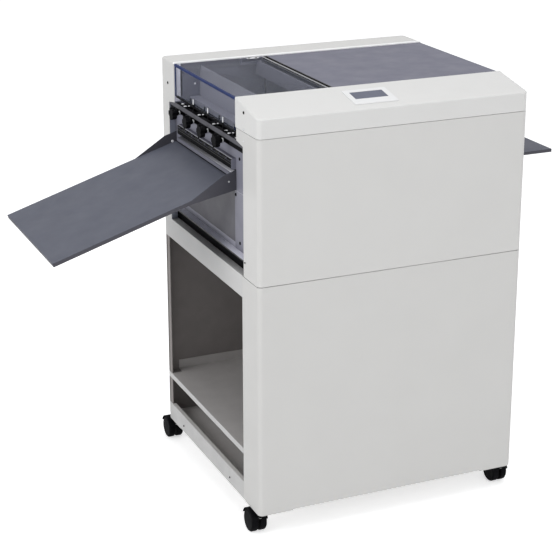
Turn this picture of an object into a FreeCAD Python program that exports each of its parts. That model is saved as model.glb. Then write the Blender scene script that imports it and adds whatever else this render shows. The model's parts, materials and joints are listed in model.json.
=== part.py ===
import FreeCAD, Part
import math
import os

# Floor-standing paper creasing machine on an open sheet-metal stand.
# Millimetres, +X from the paper exit (left) to the feed table (right), +Y to the back, +Z up.
# Everything is built about the middle of the stand's footprint with z = 0 on the floor, and
# is moved on export so that the origin is the middle of the whole machine's base.

V = FreeCAD.Vector
X_AXIS, Y_AXIS, Z_AXIS = V(1, 0, 0), V(0, 1, 0), V(0, 0, 1)

# ---- clearances --------------------------------------------------------------------------
gap = 0.3                 # between two pieces that only lie beside each other
run = 0.05                # radial clearance of a shaft in its hole
seam = 1.0                # shadow line between two outer covers

# ---- outer body --------------------------------------------------------------------------
body_w = 660.0            # width, exit side to feed side
body_d = 600.0            # depth, front to back
corner_r = 12.0           # outside radius of the upright corners
sheet = 1.5               # cover sheet
hem = 16.0                # inward fold along a free upright edge
stand_h = 548.0           # underside of the stand to the underside of the machine
front_cover_h = 329.7     # big front cover
control_front_h = 42.9    # upright front of the control cover
slope_rise = 23.7         # rise of the slanted control face
slope_run = 119.8         # depth of the slanted control face
crease_r = 4.0            # edge between the upright front and the slanted face
ridge_w = 5.2             # level strip behind the slanted face
back_top_d = 92.0         # level top of the back cover

# ---- stand -------------------------------------------------------------------------------
post_return = 92.0        # front panel's return on each side
back_return = 10.5        # back panel's return on each side
back_lift = 11.0          # back panel stops this far above the underside
top_rail_h = 51.0         # rail over the open side
kick_h = 44.0             # rail under the open side
floor_lift = 12.0         # stand floor above the underside
shelf_top = 128.8         # shelf surface above the underside
shelf_lip = 13.6          # shelf's front fold
shelf_upstand = 22.0      # shelf's fold along the back
post_leg = 27.0           # leg of each inner corner post
post_t = 2.0
chute_w = 300.0           # waste opening, along X
chute_d = 300.0           # waste opening, along Y
bottom_fold = 10.0        # inward fold at the panels' lower edge

# ---- castors -----------------------------------------------------------------------------
plate_t = 3.0             # corner plate that carries a castor
plate_size = 84.0
castor_inset_x = 12.0     # stem to the side face
castor_inset_y = 24.0     # stem to the front or back face
castor_trail = 28.0       # swivel axis to the wheels' axle
wheel_r = 27.0
wheel_w = 15.5            # one of the twin wheels
wheel_gap = 7.0           # between the twin wheels
wheel_chamfer = 3.0
wheel_room = 0.6          # wheels to the hood round them
castor_axle_r = 3.0
stem_r = 4.0
stem_len = 15.0           # below the corner plate
boss_r = 7.5
boss_h = 12.0
fender_gap = 1.3
fender_t = 2.0
fender_over = 0.5         # fender beyond the wheels' outer faces
fender_start = 20.0       # degrees above the horizontal behind the wheels
fender_end = 160.0
web_t = 5.0
axle_boss_r = 6.0

# ---- machine, exit end -------------------------------------------------------------------
front_return_low = 83.0   # front cover's return below the guide rail
front_return_high = 120.0 # front cover's return above the guide rail
back_return_low = 54.0
back_fold_h = 20.0        # fold behind the hinged covers
notch_z = 301.0           # machine underside to the rail notch in the returns
notch_slant = 6.0
end_recess = 17.0         # end panels behind the outer faces
end_sheet = 2.0
panel_lap = 10.0          # feed end panel runs up behind the lid's upright end
base_sheet = 2.0
channel_h = 34.5          # dark channel under the end panels
apron_h = 3.5             # upright edge of the exit end panel's fold
lower_panel_top = 174.0   # machine underside to the joint between the end panels
upper_plate_top = 274.5   # machine underside to the top of the upper end plate
path_z = 220.5            # machine underside to the paper path
path_front_room = 35.7    # front frame to the widest sheet
path_rear_room = 3.8      # widest sheet to the rear frame
exit_gap = 5.0            # slit that the sheet leaves through
guide_h = 25.0            # slotted exit guide
guide_d = 12.0
guide_slots = 8
guide_slot_w = 27.0
guide_slot_h = 4.5
guide_slot_up = 19.0      # slit to the middle of the slots
guide_edge = 3.0          # bevel along the guide's face
guide_slot_deep = 4.0
lip_reach = 11.0          # bright lip under the slit
lip_slant = 2.0
lip_drop = 2.5
tray_slope = 17.8         # degrees
tray_len = 446.6
exit_room = 2.0           # guide and lip beyond the widest sheet, each side
tray_edge = 9.0           # folded edge of the tray
tray_inner_z = 198.0      # machine underside to the tray's inner end
tray_gusset_len = 112.0
tray_gusset_rise = 24.0   # gusset's inner end above the tray
tray_kink_in = 33.0       # inner end to the kink in the gusset's top edge
tray_kink_rise = 24.0
tray_gusset_drop = 22.0   # gusset's inner end below the tray
tray_sheet = 1.5

# ---- guide rail with four carriages ------------------------------------------------------
rail_drop = 0.6           # top of the guide rail below the notch
rail_h = 12.0
rail_w = 12.0
rail_end_gap = 3.0
clamp_h = 9.5             # slotted black bar under the rail
clamp_w = 11.0
clamp_inset = 1.2         # its face behind the rail's face
inner_bar_w = 6.0
inner_bar_h = 16.0
carriage_count = 4
carriage_travel = 25.0    # each way
carriage_w = 16.0
carriage_block_d = 16.0
carriage_gap = 2.0        # slotted bar to the carriage's block
carriage_saddle_t = 2.0
saddle_reach = 13.0
saddle_ahead = 28.0       # saddle's front edge to the knob's axis
pin_r = 2.0
pin_h = 13.0
knob_r = 15.0
knob_t = 11.0
knob_lobes = 5
knob_flute_r = 5.5
knob_flute_out = 17.5     # knob's axis to the flutes' axes
knob_hub_r = 8.0          # hub at the back of the knob
knob_hub_end_r = 5.5
knob_hub_l = 8.0
knob_stem_r = 3.0
knob_standoff = 15.0      # back of the knob to the clamp bar
knob_grip = 7.0           # length of the screw in the carriage

# ---- covers over the paper path ----------------------------------------------------------
cover_drop = 2.3          # hinged covers lie this far below the ridge
acrylic = 5.0
acrylic_side = 4.0
acrylic_split_x = 228.0   # width of the clear cover
cover_seam = 6.0          # open joint between the clear cover and the lid
cover_side_z = 308.0      # machine underside to the lower edge of the covers' upright ends
lid_sheet = 1.5
lid_edge = 12.0
lid_right_inset = 4.0
hinge_pin_r = 1.5
hinge_setback = 4.0       # hinge axis to the back cover
hinge_edge_gap = 1.5
hinge_ear_w = 4.0
hinge_w = 53.0
hinge_block = 8.0         # hinge axis to the bracket's base
hinge_base_t = 6.0
hinge_base_d = 8.0
cover_open = 80.0         # degrees

# ---- inner frames and rollers ------------------------------------------------------------
frame_t = 3.0
frame_ledge = 15.0        # fold that the covers' front edges lie on
shaft_r = 5.0
roller_r = 12.0
nip_gap = 0.3
sleeve_inset = 6.0        # rubber ends inside the widest sheet, each side
pulley_r = 9.0
pulley_w = 8.0
flange_r = 11.0
flange_w = 1.5
pulley_row_gap = 2.0
shaft_end = 4.0           # shafts stand out of the frames by this much
belt_t = 1.2
belt_w = 7.0
exit_roller_in = 30.0     # exit end panel to the exit rollers
infeed_roller_in = 98.0   # feed end panel to the infeed rollers
pickup_in = 28.0          # feed end panel to the pick-up roller
pickup_r = 16.0
pickup_w = 60.0
pickup_z = 243.0          # machine underside to the pick-up roller's axis
motor_in = 95.0           # infeed rollers to the motor
motor_z = 97.0
motor_r = 30.0
motor_len = 60.0
motor_flange_t = 4.0
motor_shaft_r = 4.0
motor_shaft_deep = 19.0   # shaft's inner end behind the motor's face
guard_step_x = 23.0       # exit end panel to the guard's lower step
guard_step_z = 312.0      # machine underside to the ledge between the guard's steps
guard_wall_x = 48.0       # exit end panel to the guard's upper wall
guard_drop = 2.0          # guard's top edge below the clear cover
stay_x = -121.0           # stay between the frames under the covers' joint
stay_h = 35.0
stay_t = 2.0
block_w = 10.0            # stop block above the rail's rear end
block_z = 303.0
block_h = 13.0

# ---- creasing unit -----------------------------------------------------------------------
crease_x = -10.0
blade_t = 1.0
blade_h = 8.0
blade_lift = 4.5          # blade's edge above the paper path at rest
stroke = 8.0
beam_w = 12.0
beam_top_z = 287.0
anvil_w = 40.0
anvil_h = 32.0
groove_w = 2.6
groove_deep = 5.0
anvil_gap = 1.5           # anvil below the paper path
cam_r = 14.0
cam_w = 10.0
cam_turn = 150.0          # degrees from rest to the full stroke
cam_hold = 45.0           # degrees at the full stroke
cam_return = 330.0        # degrees at which the cam is back at its low radius
cam_arc = 15              # degrees of each arc of the rim
cam_inset = 60.0          # frames to the cams
cam_gap = 0.6
cam_shaft_r = 6.0
guide_rib_w = 8.0
guide_rib_d = 10.0

# ---- feed end ----------------------------------------------------------------------------
table_len = 199.0         # beyond the end panel
table_inset = 6.0         # table's edges inside the widest sheet, each side
table_reach = 20.0        # table's inner end behind the end panel
table_bracket_l = 90.0
table_bracket_h = 40.0
table_bracket_in = 30.0
table_z = 180.0           # machine underside to the table's surface
table_edge = 8.0
throat_h = 78.0           # feed opening above the table
side_guide_h = 38.0
side_guide_len = 90.0
side_guide_in = 10.0      # fence ahead of its stud's middle
side_guide_foot = 22.0
side_guide_travel = 90.0
side_guide_inset = 16.0   # guides at rest inside the widest sheet, each side
table_slot_w = 6.0
table_slot_len = 100.0
table_slot_back = 60.0    # slots behind the middle of the table

# ---- control panel, inlet and board ------------------------------------------------------
bezel_w = 106.0
bezel_d = 74.0
bezel_t = 1.6
bezel_x = -38.0
bezel_up = 24.0           # crease to the bezel's lower edge, along the slope
screen_w = 80.0
screen_d = 36.0
screen_up = 26.0          # bezel's lower edge to the screen
inlet_in = 110.0          # inlet to the right face
inlet_z = 60.0
inlet_w = 22.0            # socket's mouth
inlet_h = 26.0            # inlet and switch body
inlet_wall = 2.5
inlet_rim = 2.5
inlet_deep = 24.0
switch_w = 13.0
switch_h = 19.0
switch_gap = 5.0
switch_tilt = 14.0        # degrees from off to on
switch_proud = 2.0        # rocker's edges stand out by this much at mid travel
switch_axis_deep = 3.0    # tilt axis behind the back cover
switch_pin_r = 1.0
switch_pin_len = 0.9      # pin in the pocket's wall
board_w = 220.0
board_h = 130.0
board_t = 1.6
board_standoff = 20.0
board_z = 150.0           # machine underside to the board's middle
board_hole_in = 8.0       # board's edges to its spacers
board_chips = ((-90, 20, 40, 30, 10), (-30, 10, 24, 24, 3),   # x, z, width, depth, height
               (20, -40, 60, 18, 12), (-80, -45, 30, 40, 20))

# ---- places worked out from the sizes ----------------------------------------------------
left, right = -body_w / 2, body_w / 2
front, back = -body_d / 2, body_d / 2
z_skirt = 2 * wheel_r + fender_gap + fender_t + plate_t + 2 * gap   # underside of the stand
z_machine = z_skirt + stand_h
z_seam = z_machine + front_cover_h
z_crease = z_seam + control_front_h
z_top = z_crease + slope_rise
y_slope_top = front + slope_run
y_ridge_back = y_slope_top + ridge_w
y_back_inner = back - back_top_d
z_notch = z_machine + notch_z
z_path = z_machine + path_z
x_end = left + end_recess
x_end_right = right - end_recess
y_front_frame = y_ridge_back + gap
y_rear_frame = y_back_inner + sheet + gap
y_frame_in = y_front_frame + frame_t
path_w = y_rear_frame - y_frame_in - path_front_room - path_rear_room
path_centre_y = y_rear_frame - path_rear_room - path_w / 2
exit_w = path_w + 2 * exit_room
table_w = path_w - 2 * table_inset
sleeve_w = path_w - 2 * sleeve_inset
side_guide_spread = path_w / 2 - side_guide_inset
exit_roller_x = x_end + exit_roller_in
infeed_roller_x = x_end_right - infeed_roller_in
pickup_x = x_end_right - pickup_in
motor_x = infeed_roller_x - motor_in
inlet_x = right - inlet_in
z_cover = z_top - cover_drop
z_cover_under = z_cover - acrylic
z_cover_side = z_machine + cover_side_z
x_clear_right = left + gap + acrylic_split_x
x_lid_left = x_clear_right + cover_seam
y_cover_front = y_ridge_back + seam
y_cover_back = y_back_inner - hinge_edge_gap
y_hinge = y_back_inner - hinge_setback
z_hinge = z_cover - acrylic / 2
y_hinge_base = y_back_inner - hinge_base_d
z_fold = z_top - back_fold_h
z_rail = z_notch - rail_drop
z_clamp = z_rail - rail_h - gap
z_knob = z_clamp - clamp_h / 2
x_rail = left + sheet + gap
x_clamp = x_rail + clamp_inset
x_carriage = x_clamp + clamp_w + carriage_gap
carriage_pitch = (path_w - 2 * carriage_travel - carriage_w) / (carriage_count - 1)
knob_ys = [path_centre_y + carriage_pitch * (i - (carriage_count - 1) / 2)
           for i in range(carriage_count)]
z_low_roller = z_path - nip_gap / 2 - roller_r
z_high_roller = z_path + nip_gap / 2 + roller_r
y_pulley = y_rear_frame + frame_t + shaft_end
z_beam_top = z_machine + beam_top_z
z_cam = z_beam_top + cam_r + cam_gap
cam_rise = stroke / math.radians(cam_turn)
z_motor = z_machine + motor_z
z_pickup = z_machine + pickup_z
z_table = z_machine + table_z
x_guide = x_end_right + table_len / 2 - table_slot_back
y_end_front = front + front_return_low + gap
y_end_back = back - back_return_low - gap
y_bar_front = front + front_return_low + rail_end_gap
y_bar_back = back - back_return_low - rail_end_gap
pulley_row = pulley_w + 2 * flange_w + pulley_row_gap
castor_x = right - castor_inset_x
castor_y = back - castor_inset_y
slope_angle = math.degrees(math.atan2(slope_rise, slope_run))
z_inlet = z_machine + inlet_z
x_switch = inlet_x + inlet_w / 2 + switch_gap + switch_w / 2
x_inlet_0 = inlet_x - inlet_w / 2 - inlet_wall
x_inlet_1 = x_switch + switch_w / 2 + inlet_wall


# ---- helpers -----------------------------------------------------------------------------
def box(x0, x1, y0, y1, z0, z1):
    return Part.makeBox(x1 - x0, y1 - y0, z1 - z0, V(x0, y0, z0))


def rod(x, y, z, axis, radius, length):
    return Part.makeCylinder(radius, length, V(x, y, z), axis)


def fused(first, *others):
    return first.fuse(list(others)).removeSplitter() if others else first


def mirrored_x(shape):
    return shape.mirror(V(0, 0, 0), X_AXIS)


def face_xz(points, y):
    corners = [V(x, y, z) for x, z in points]
    return Part.Face(Part.makePolygon(corners + corners[:1]))


def face_yz(points, x):
    corners = [V(x, y, z) for y, z in points]
    return Part.Face(Part.makePolygon(corners + corners[:1]))


def plate_xz(points, y0, y1):
    return face_xz(points, y0).extrude(V(0, y1 - y0, 0))


def plate_yz(points, x0, x1):
    return face_yz(points, x0).extrude(V(x1 - x0, 0, 0))


def upright_edges(shape, test):
    found = []
    for edge in shape.Edges:
        ends = [v.Point for v in edge.Vertexes]
        if len(ends) == 2 and abs(ends[0].x - ends[1].x) + abs(ends[0].y - ends[1].y) < 1e-6:
            if test(ends[0]):
                found.append(edge)
    return found


def rounded_block(x0, x1, y0, y1, z0, z1, radius, test=lambda p: True):
    block = box(x0, x1, y0, y1, z0, z1)
    return block.makeFillet(radius, upright_edges(block, test))


def wall_ring(z0, z1):
    outer = rounded_block(left, right, front, back, z0, z1, corner_r)
    inner = rounded_block(left + sheet, right - sheet, front + sheet, back - sheet,
                          z0 - 1, z1 + 1, corner_r - sheet)
    return outer.cut(inner)


def revolved_y(profile, x, z):
    """A turned piece on an axis along Y; profile is (radius, y) pairs."""
    corners = [V(x + r, y, z) for r, y in profile]
    return Part.Face(Part.makePolygon(corners + corners[:1])).revolve(V(x, 0, z), Y_AXIS, 360)


def revolved_x(profile, y, z):
    """A turned piece on an axis along X; profile is (x, radius) pairs."""
    corners = [V(x, y, z + r) for x, r in profile]
    return Part.Face(Part.makePolygon(corners + corners[:1])).revolve(V(0, y, z), X_AXIS, 360)


def on_slope(shape):
    """Moves a piece drawn flat at the origin onto the slanted control face."""
    turn = FreeCAD.Rotation(X_AXIS, slope_angle)
    shape = shape.copy()
    shape.Placement = FreeCAD.Placement(V(0, front, z_crease), turn)
    return shape


def corner_notches(z0, z1):
    """Boxes that clear the rounded corners of the stand's walls."""
    size = V(corner_r, corner_r, z1 - z0)
    spots = [(sx, sy) for sx in (-1, 1) for sy in (-1, 1)]
    return [Part.makeBox(size.x, size.y, size.z,
                         V(sx * right - (size.x if sx > 0 else 0),
                           sy * back - (size.y if sy > 0 else 0), z0)) for sx, sy in spots]


def hem_notches(z0, z1):
    """Boxes that clear the panels' inward hems where a level sheet passes them."""
    y_edge = front + post_return
    y0 = y_edge - sheet - gap
    return [box(left - 1, left + hem + gap, y0, y_edge + gap, z0, z1),
            box(right - hem - gap, right + 1, y0, y_edge + seam + sheet + gap, z0, z1)]


def post_boxes(z0, z1, clearance):
    """Space of the four corner posts, widened by a clearance towards the middle."""
    size = post_leg + clearance
    x, y = right - sheet - gap, back - sheet - gap
    return [Part.makeBox(size, size, z1 - z0,
                         V(x - size if sx > 0 else -x, y - size if sy > 0 else -y, z0))
            for sx in (-1, 1) for sy in (-1, 1)]


# ---- stand -------------------------------------------------------------------------------
def stand_front_panel():
    z0, z1 = z_skirt, z_machine - seam
    y_edge = front + post_return
    wall = wall_ring(z0, z1).common(box(left - 1, right + 1, front - 1, y_edge, z0 - 1, z1 + 1))
    hem_left = box(left + sheet, left + hem, y_edge - sheet, y_edge, z0, z1)
    outer = rounded_block(left, right, front, back, z0, z0 + sheet, corner_r)
    fold = outer.cut(box(left + bottom_fold, right - bottom_fold, front + bottom_fold,
                         back - bottom_fold, z0 - 1, z0 + sheet + 1))
    fold = fold.common(box(left, right, front, y_edge, z0, z0 + sheet))
    return fused(wall, hem_left, mirrored_x(hem_left), fold)


def stand_back_panel():
    z0, z1 = z_skirt + back_lift, z_machine - seam
    y_edge = back - back_return
    wall = wall_ring(z0, z1).common(box(left - 1, right + 1, y_edge, back + 1, z0 - 1, z1 + 1))
    foot_r = 6.0
    corner = box(left - 1, right + 1, y_edge - 1, y_edge + foot_r, z0 - 1, z0 + foot_r)
    round_cut = corner.cut(rod(left - 2, y_edge + foot_r, z0 + foot_r, X_AXIS, foot_r,
                               body_w + 4))
    return wall.cut(round_cut)


def stand_right_panel():
    z0, z1 = z_skirt, z_machine - seam
    y0, y1 = front + post_return + seam, back - back_return - seam
    panel = box(right - sheet, right, y0, y1, z0, z1)
    hem_front = box(right - hem, right - sheet, y0, y0 + sheet, z0, z1)
    return fused(panel, hem_front)


def stand_top_deck():
    """Deck in four sheets round the waste opening; the left one folds into the top rail."""
    z1 = z_machine
    z0 = z1 - top_rail_h
    y0, y1 = front + post_return + gap, back - back_return - gap
    inner = sheet + gap
    x_wall, y_wall = right - inner, back - inner - 1
    x_chute = chute_w / 2
    y_chute0, y_chute1 = path_centre_y - chute_d / 2, path_centre_y + chute_d / 2
    left_sheet = fused(box(-x_wall, -x_chute, -y_wall, y_wall, z1 - sheet, z1),
                       box(left, -x_chute, y0, y1, z1 - sheet, z1),
                       box(left, left + sheet, y0, y1, z0, z1),
                       box(left, left + hem, y0, back - sheet - post_leg - 2 * gap, z0,
                           z0 + sheet))
    sheets = [left_sheet, box(x_chute, x_wall, -y_wall, y_wall, z1 - sheet, z1),
              box(-x_chute, x_chute, -y_wall, y_chute0, z1 - sheet, z1),
              box(-x_chute, x_chute, y_chute1, y_wall, z1 - sheet, z1)]
    notches = corner_notches(z0, z1 + 1) + hem_notches(z1 - sheet - 1, z1 + 1)
    return [piece.cut(notches) for piece in sheets]


def stand_base_pan():
    z_floor = z_skirt + floor_lift
    y0, y1 = front + post_return + gap, back - back_return - gap
    inner = sheet + gap
    plate = box(left + inner, right - inner, front + inner + 1, back - inner - 1,
                z_floor, z_floor + sheet)
    reach = box(left, 0, y0, y1, z_floor, z_floor + sheet)
    kick = box(left, left + sheet, y0, y1, z_skirt, z_skirt + kick_h)
    kick_fold = box(left, left + bottom_fold, y0, back - sheet - post_leg - 2 * gap,
                    z_skirt + kick_h - sheet, z_skirt + kick_h)
    pan = fused(plate, reach, kick, kick_fold)
    return pan.cut(corner_notches(z_floor - 1, z_floor + sheet + 1)
                   + hem_notches(z_floor - 1, z_floor + sheet + 1))


def stand_shelf():
    z1 = z_skirt + shelf_top
    x0, x1 = left + sheet + gap, right - sheet - gap
    y0, y1 = front + sheet + gap, back - sheet - gap
    plate = box(x0, x1, y0, y1, z1 - sheet, z1)
    upstand = box(x0 + post_leg + 1, x1 - post_leg - 1, y1 - sheet, y1, z1 - sheet,
                  z1 + shelf_upstand)
    lip_y0, lip_y1 = front + post_return + gap, back - back_return - gap
    lip = box(left, left + sheet, lip_y0, lip_y1, z1 - shelf_lip, z1)
    reach = box(left, x0 + 1, lip_y0, lip_y1, z1 - sheet, z1)
    shelf = fused(plate, upstand, lip, reach)
    return shelf.cut(post_boxes(z1 - shelf_lip - 1, z1 + shelf_upstand + 1, gap)
                     + hem_notches(z1 - sheet - 1, z1 + 1))


def corner_posts():
    """Four angle uprights that stand on the floor pan, hold the shelf and carry the deck."""
    z0 = z_skirt + floor_lift + sheet
    z1 = z_machine - sheet
    z_cleat = z_skirt + shelf_top - sheet
    posts = []
    for sx in (-1, 1):
        for sy in (-1, 1):
            x = sx * (right - sheet - gap)
            y = sy * (back - sheet - gap)
            side = Part.makeBox(post_t, post_leg, z1 - z0,
                                V(x - (post_t if sx > 0 else 0),
                                  y - (post_leg if sy > 0 else 0), z0))
            end = Part.makeBox(post_leg, post_t, z1 - z0,
                               V(x - (post_leg if sx > 0 else 0),
                                 y - (post_t if sy > 0 else 0), z0))
            ledge = Part.makeBox(post_leg + 18, post_leg + 18, post_t,
                                 V(x - (post_leg + 18 if sx > 0 else 0),
                                   y - (post_leg + 18 if sy > 0 else 0), z_cleat - post_t))
            post = fused(side, end, ledge)
            inside = rounded_block(left + sheet + gap, right - sheet - gap,
                                   front + sheet + gap, back - sheet - gap, z0 - 1, z1 + 1,
                                   corner_r - sheet)
            posts.append(post.common(inside))
    return posts


# ---- castors -----------------------------------------------------------------------------
def castor_places():
    return {"fl": (-castor_x, -castor_y), "fr": (castor_x, -castor_y),
            "bl": (-castor_x, castor_y), "br": (castor_x, castor_y)}


def castor_plates():
    plates = []
    inset = 1.0
    for x, y in castor_places().values():
        sx, sy = math.copysign(1, x), math.copysign(1, y)
        x_out, y_out = sx * (right - inset), sy * (back - inset)
        x_in, y_in = x_out - sx * plate_size, y_out - sy * plate_size
        plate = rounded_block(min(x_out, x_in), max(x_out, x_in), min(y_out, y_in),
                              max(y_out, y_in), z_skirt - plate_t, z_skirt,
                              corner_r - inset, lambda p: abs(p.x - x_out) < 0.1
                              and abs(p.y - y_out) < 0.1)
        stem = rod(x, y, z_skirt - plate_t - stem_len, Z_AXIS, stem_r, stem_len + plate_t)
        plates.append(fused(plate, stem))
    return plates


def castor_hood(x, y):
    """Hood that turns on the stem, with the web between the wheels that holds their axle."""
    z_boss = z_skirt - plate_t - gap - boss_h
    y_axle = y + castor_trail
    half = wheel_gap / 2 + wheel_w + fender_over
    fender_r = wheel_r + fender_gap
    reach = 2 * (fender_r + fender_t)
    angles = [math.radians(a) for a in (fender_start, (fender_start + fender_end) / 2, fender_end)]
    sector = plate_yz([(y_axle, wheel_r)] + [(y_axle + reach * math.cos(a),
                                              wheel_r + reach * math.sin(a)) for a in angles],
                      x - half - 1, x + half + 1)

    def disc(radius, width):
        return rod(x - width / 2, y_axle, wheel_r, X_AXIS, radius, width)

    fender = disc(fender_r + fender_t, 2 * half).cut(disc(fender_r, 2 * half + 2)).common(sector)
    web = disc(fender_r + fender_t / 2, web_t).common(sector)
    boss = rod(x, y, z_boss, Z_AXIS, boss_r, boss_h)
    bore = rod(x, y, z_skirt - plate_t - stem_len - gap, Z_AXIS, stem_r + run,
               stem_len + 2 * gap)
    wheel_space = [rod(x0, y_axle, wheel_r, X_AXIS, wheel_r + wheel_room, wheel_w + 2 * gap)
                   for x0 in (x - wheel_gap / 2 - wheel_w - gap, x + wheel_gap / 2 - gap)]
    hood = fused(fender, web, disc(axle_boss_r, web_t), boss)
    return hood.cut([bore, disc(castor_axle_r + run, web_t + 2)] + wheel_space)


def castor_wheels(x, y):
    a, w, c = wheel_gap / 2, wheel_w, wheel_chamfer
    half = [(0, castor_axle_r), (a, castor_axle_r), (a, wheel_r), (a + w - c, wheel_r),
            (a + w, wheel_r - c), (a + w, 0), (0, 0)]
    profile = [(x + dx, r) for dx, r in half]
    other = [(x - dx, r) for dx, r in half]
    y_axle = y + castor_trail
    return fused(revolved_x(profile, y_axle, wheel_r), revolved_x(other, y_axle, wheel_r))


# ---- outer covers ------------------------------------------------------------------------
def front_cover():
    z0, z1 = z_machine + gap, z_seam - seam
    y_low, y_high = front + front_return_low, front + front_return_high
    side = plate_yz([(front - 1, z0), (y_low, z0), (y_low, z_notch - notch_slant),
                     (y_high, z_notch), (y_high, z1), (front - 1, z1)], left - 1, right + 1)
    wall = wall_ring(z0, z1).common(side)
    hem_left = box(left + sheet, left + hem, y_low - sheet, y_low, z0, z_notch - notch_slant)
    fold_top = rounded_block(left + gap, right - gap, front + gap, back, z1 - sheet, z1,
                             corner_r - gap)
    fold_top = fold_top.common(box(left, right, front, front + 14, z1 - 10, z1 + 1))
    return fused(wall, hem_left, mirrored_x(hem_left), fold_top)


def crease_edges(shape, z):
    """The edge between the upright front and the slanted face, with its ends round the corners."""
    return [e for e in shape.Edges
            if all(z - 0.01 < v.Point.z < z + crease_r and v.Point.y < front + corner_r + 0.1
                   for v in e.Vertexes)]


def control_cover():
    """Shell with the slanted control face, its end returns and the fold behind the ridge."""
    z0 = z_seam
    outline = [(front, z0), (front, z_crease), (y_slope_top, z_top), (y_ridge_back, z_top),
               (y_ridge_back, z0)]
    outer = plate_yz(outline, left, right)
    outer = outer.makeFillet(corner_r, upright_edges(outer, lambda p: p.y < front + 1))
    outer = outer.makeFillet(crease_r, crease_edges(outer, z_crease))
    t = sheet
    lift = t / math.cos(math.radians(slope_angle))
    z_in = z_crease + t * math.tan(math.radians(slope_angle)) - lift
    z_slope_end = z_in + slope_rise - t * math.tan(math.radians(slope_angle))
    inner_outline = [(front + t, z0 - 1), (front + t, z_in), (y_slope_top, z_slope_end),
                     (y_ridge_back - t, z_slope_end), (y_ridge_back - t, z0 - 1)]
    inner = plate_yz(inner_outline, left + t, right - t)
    inner = inner.makeFillet(corner_r - t, upright_edges(inner, lambda p: p.y < front + t + 1))
    return outer.cut(inner.makeFillet(crease_r - t, crease_edges(inner, z_in)))


def back_cover():
    z0 = z_machine + gap
    t = sheet
    y_low, y_high = back - back_return_low, y_back_inner
    edge_r = 5.0
    outer = rounded_block(left, right, y_back_inner, back, z0, z_top, corner_r,
                          lambda p: p.y > back - 1)
    top_edges = [e for e in outer.Edges
                 if all(abs(v.Point.z - z_top) < 1e-6 and v.Point.y > y_back_inner + 1
                        for v in e.Vertexes)]
    outer = outer.makeFillet(edge_r, top_edges)
    inner = rounded_block(left + t, right - t, y_back_inner + t, back - t, z0 - 1, z_top - t,
                          corner_r - t, lambda p: p.y > back - t - 1)
    side = plate_yz([(y_low, z0 - 1), (y_low, z_notch - notch_slant), (y_high, z_notch),
                     (y_high, z_top + 1), (back + 1, z_top + 1), (back + 1, z0 - 1)],
                    left - 1, right + 1)
    shell = outer.cut(inner).common(side)
    hem_left = box(left + t, left + hem, y_low, y_low + t, z0, z_notch - notch_slant)
    inlet_cut = box(x_inlet_0 - gap, x_inlet_1 + gap, back - 4, back + 1,
                    z_inlet - inlet_h / 2 - gap, z_inlet + inlet_h / 2 + gap)
    below_fold = box(left + hem, right - hem, y_back_inner - 1, y_back_inner + t + 0.1,
                     z_notch - notch_slant - 1, z_top - back_fold_h)
    rail_room = box(left + t, right - t, y_back_inner - 1, y_back_inner + t + 0.1,
                    z_notch - notch_slant - 1, z_notch)
    return fused(shell, hem_left, mirrored_x(hem_left)).cut([inlet_cut, below_fold, rail_room])


def exit_lower_panel():
    """Grey panel under the tray, with the fold that stands out to the covers' faces."""
    y0, y1 = y_end_front, y_end_back
    z_fold = z_machine + channel_h + apron_h
    z1 = z_machine + lower_panel_top
    panel = box(x_end, x_end + end_sheet, y0, y1, z_fold, z1)
    shelf = box(left, x_end + end_sheet, y0, y1, z_fold - sheet, z_fold)
    apron = box(left, left + sheet, y0, y1, z_machine + channel_h, z_fold)
    return fused(panel, shelf, apron)


def hinge_room(x0, x1):
    """Space round the hinge brackets and the back cover's fold, for sheets that end there."""
    return box(x0, x1, y_hinge_base - gap, y_rear_frame, z_fold - gap, z_top)


def exit_upper_plate():
    """End plate with the exit slit, and the stepped guard that its top edge turns into."""
    y0, y1 = y_end_front, y_end_back
    z0, z1 = z_machine + lower_panel_top + gap, z_machine + upper_plate_top
    plate = box(x_end, x_end + end_sheet, y0, y1, z0, z1)
    slit = box(x_end - 1, x_end + end_sheet + 1, path_centre_y - path_w / 2,
               path_centre_y + path_w / 2, z_path - exit_gap / 2, z_path + exit_gap / 2)
    t = sheet
    x_step, x_wall = x_end + guard_step_x, x_end + guard_wall_x
    z_step, z_wall = z_machine + guard_step_z, z_cover_under - guard_drop
    outline = [(x_end, z1), (x_step, z1), (x_step, z_step), (x_wall, z_step), (x_wall, z_wall),
               (x_wall + t, z_wall), (x_wall + t, z_step - t), (x_step + t, z_step - t),
               (x_step + t, z1 - t), (x_end, z1 - t)]
    guard = plate_xz(outline, y_front_frame + frame_ledge + gap, y_rear_frame - gap)
    return fused(plate.cut(slit), guard.cut(hinge_room(x_end, x_wall + t + 1)))


def feed_end_panel():
    y0, y1 = y_end_front, y_end_back
    z0, z1 = z_machine + channel_h, z_cover_side + panel_lap
    x0 = x_end_right - end_sheet
    panel = box(x0, x_end_right, y0, y1, z0, z1)
    throat = box(x0 - 1, x_end_right + 1, path_centre_y - path_w / 2,
                 path_centre_y + path_w / 2, z_table - sheet - gap, z_table + throat_h)
    fold = box(x0, right - sheet, y0, y1, z0, z0 + end_sheet)
    return fused(panel, fold).cut(throat)


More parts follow.
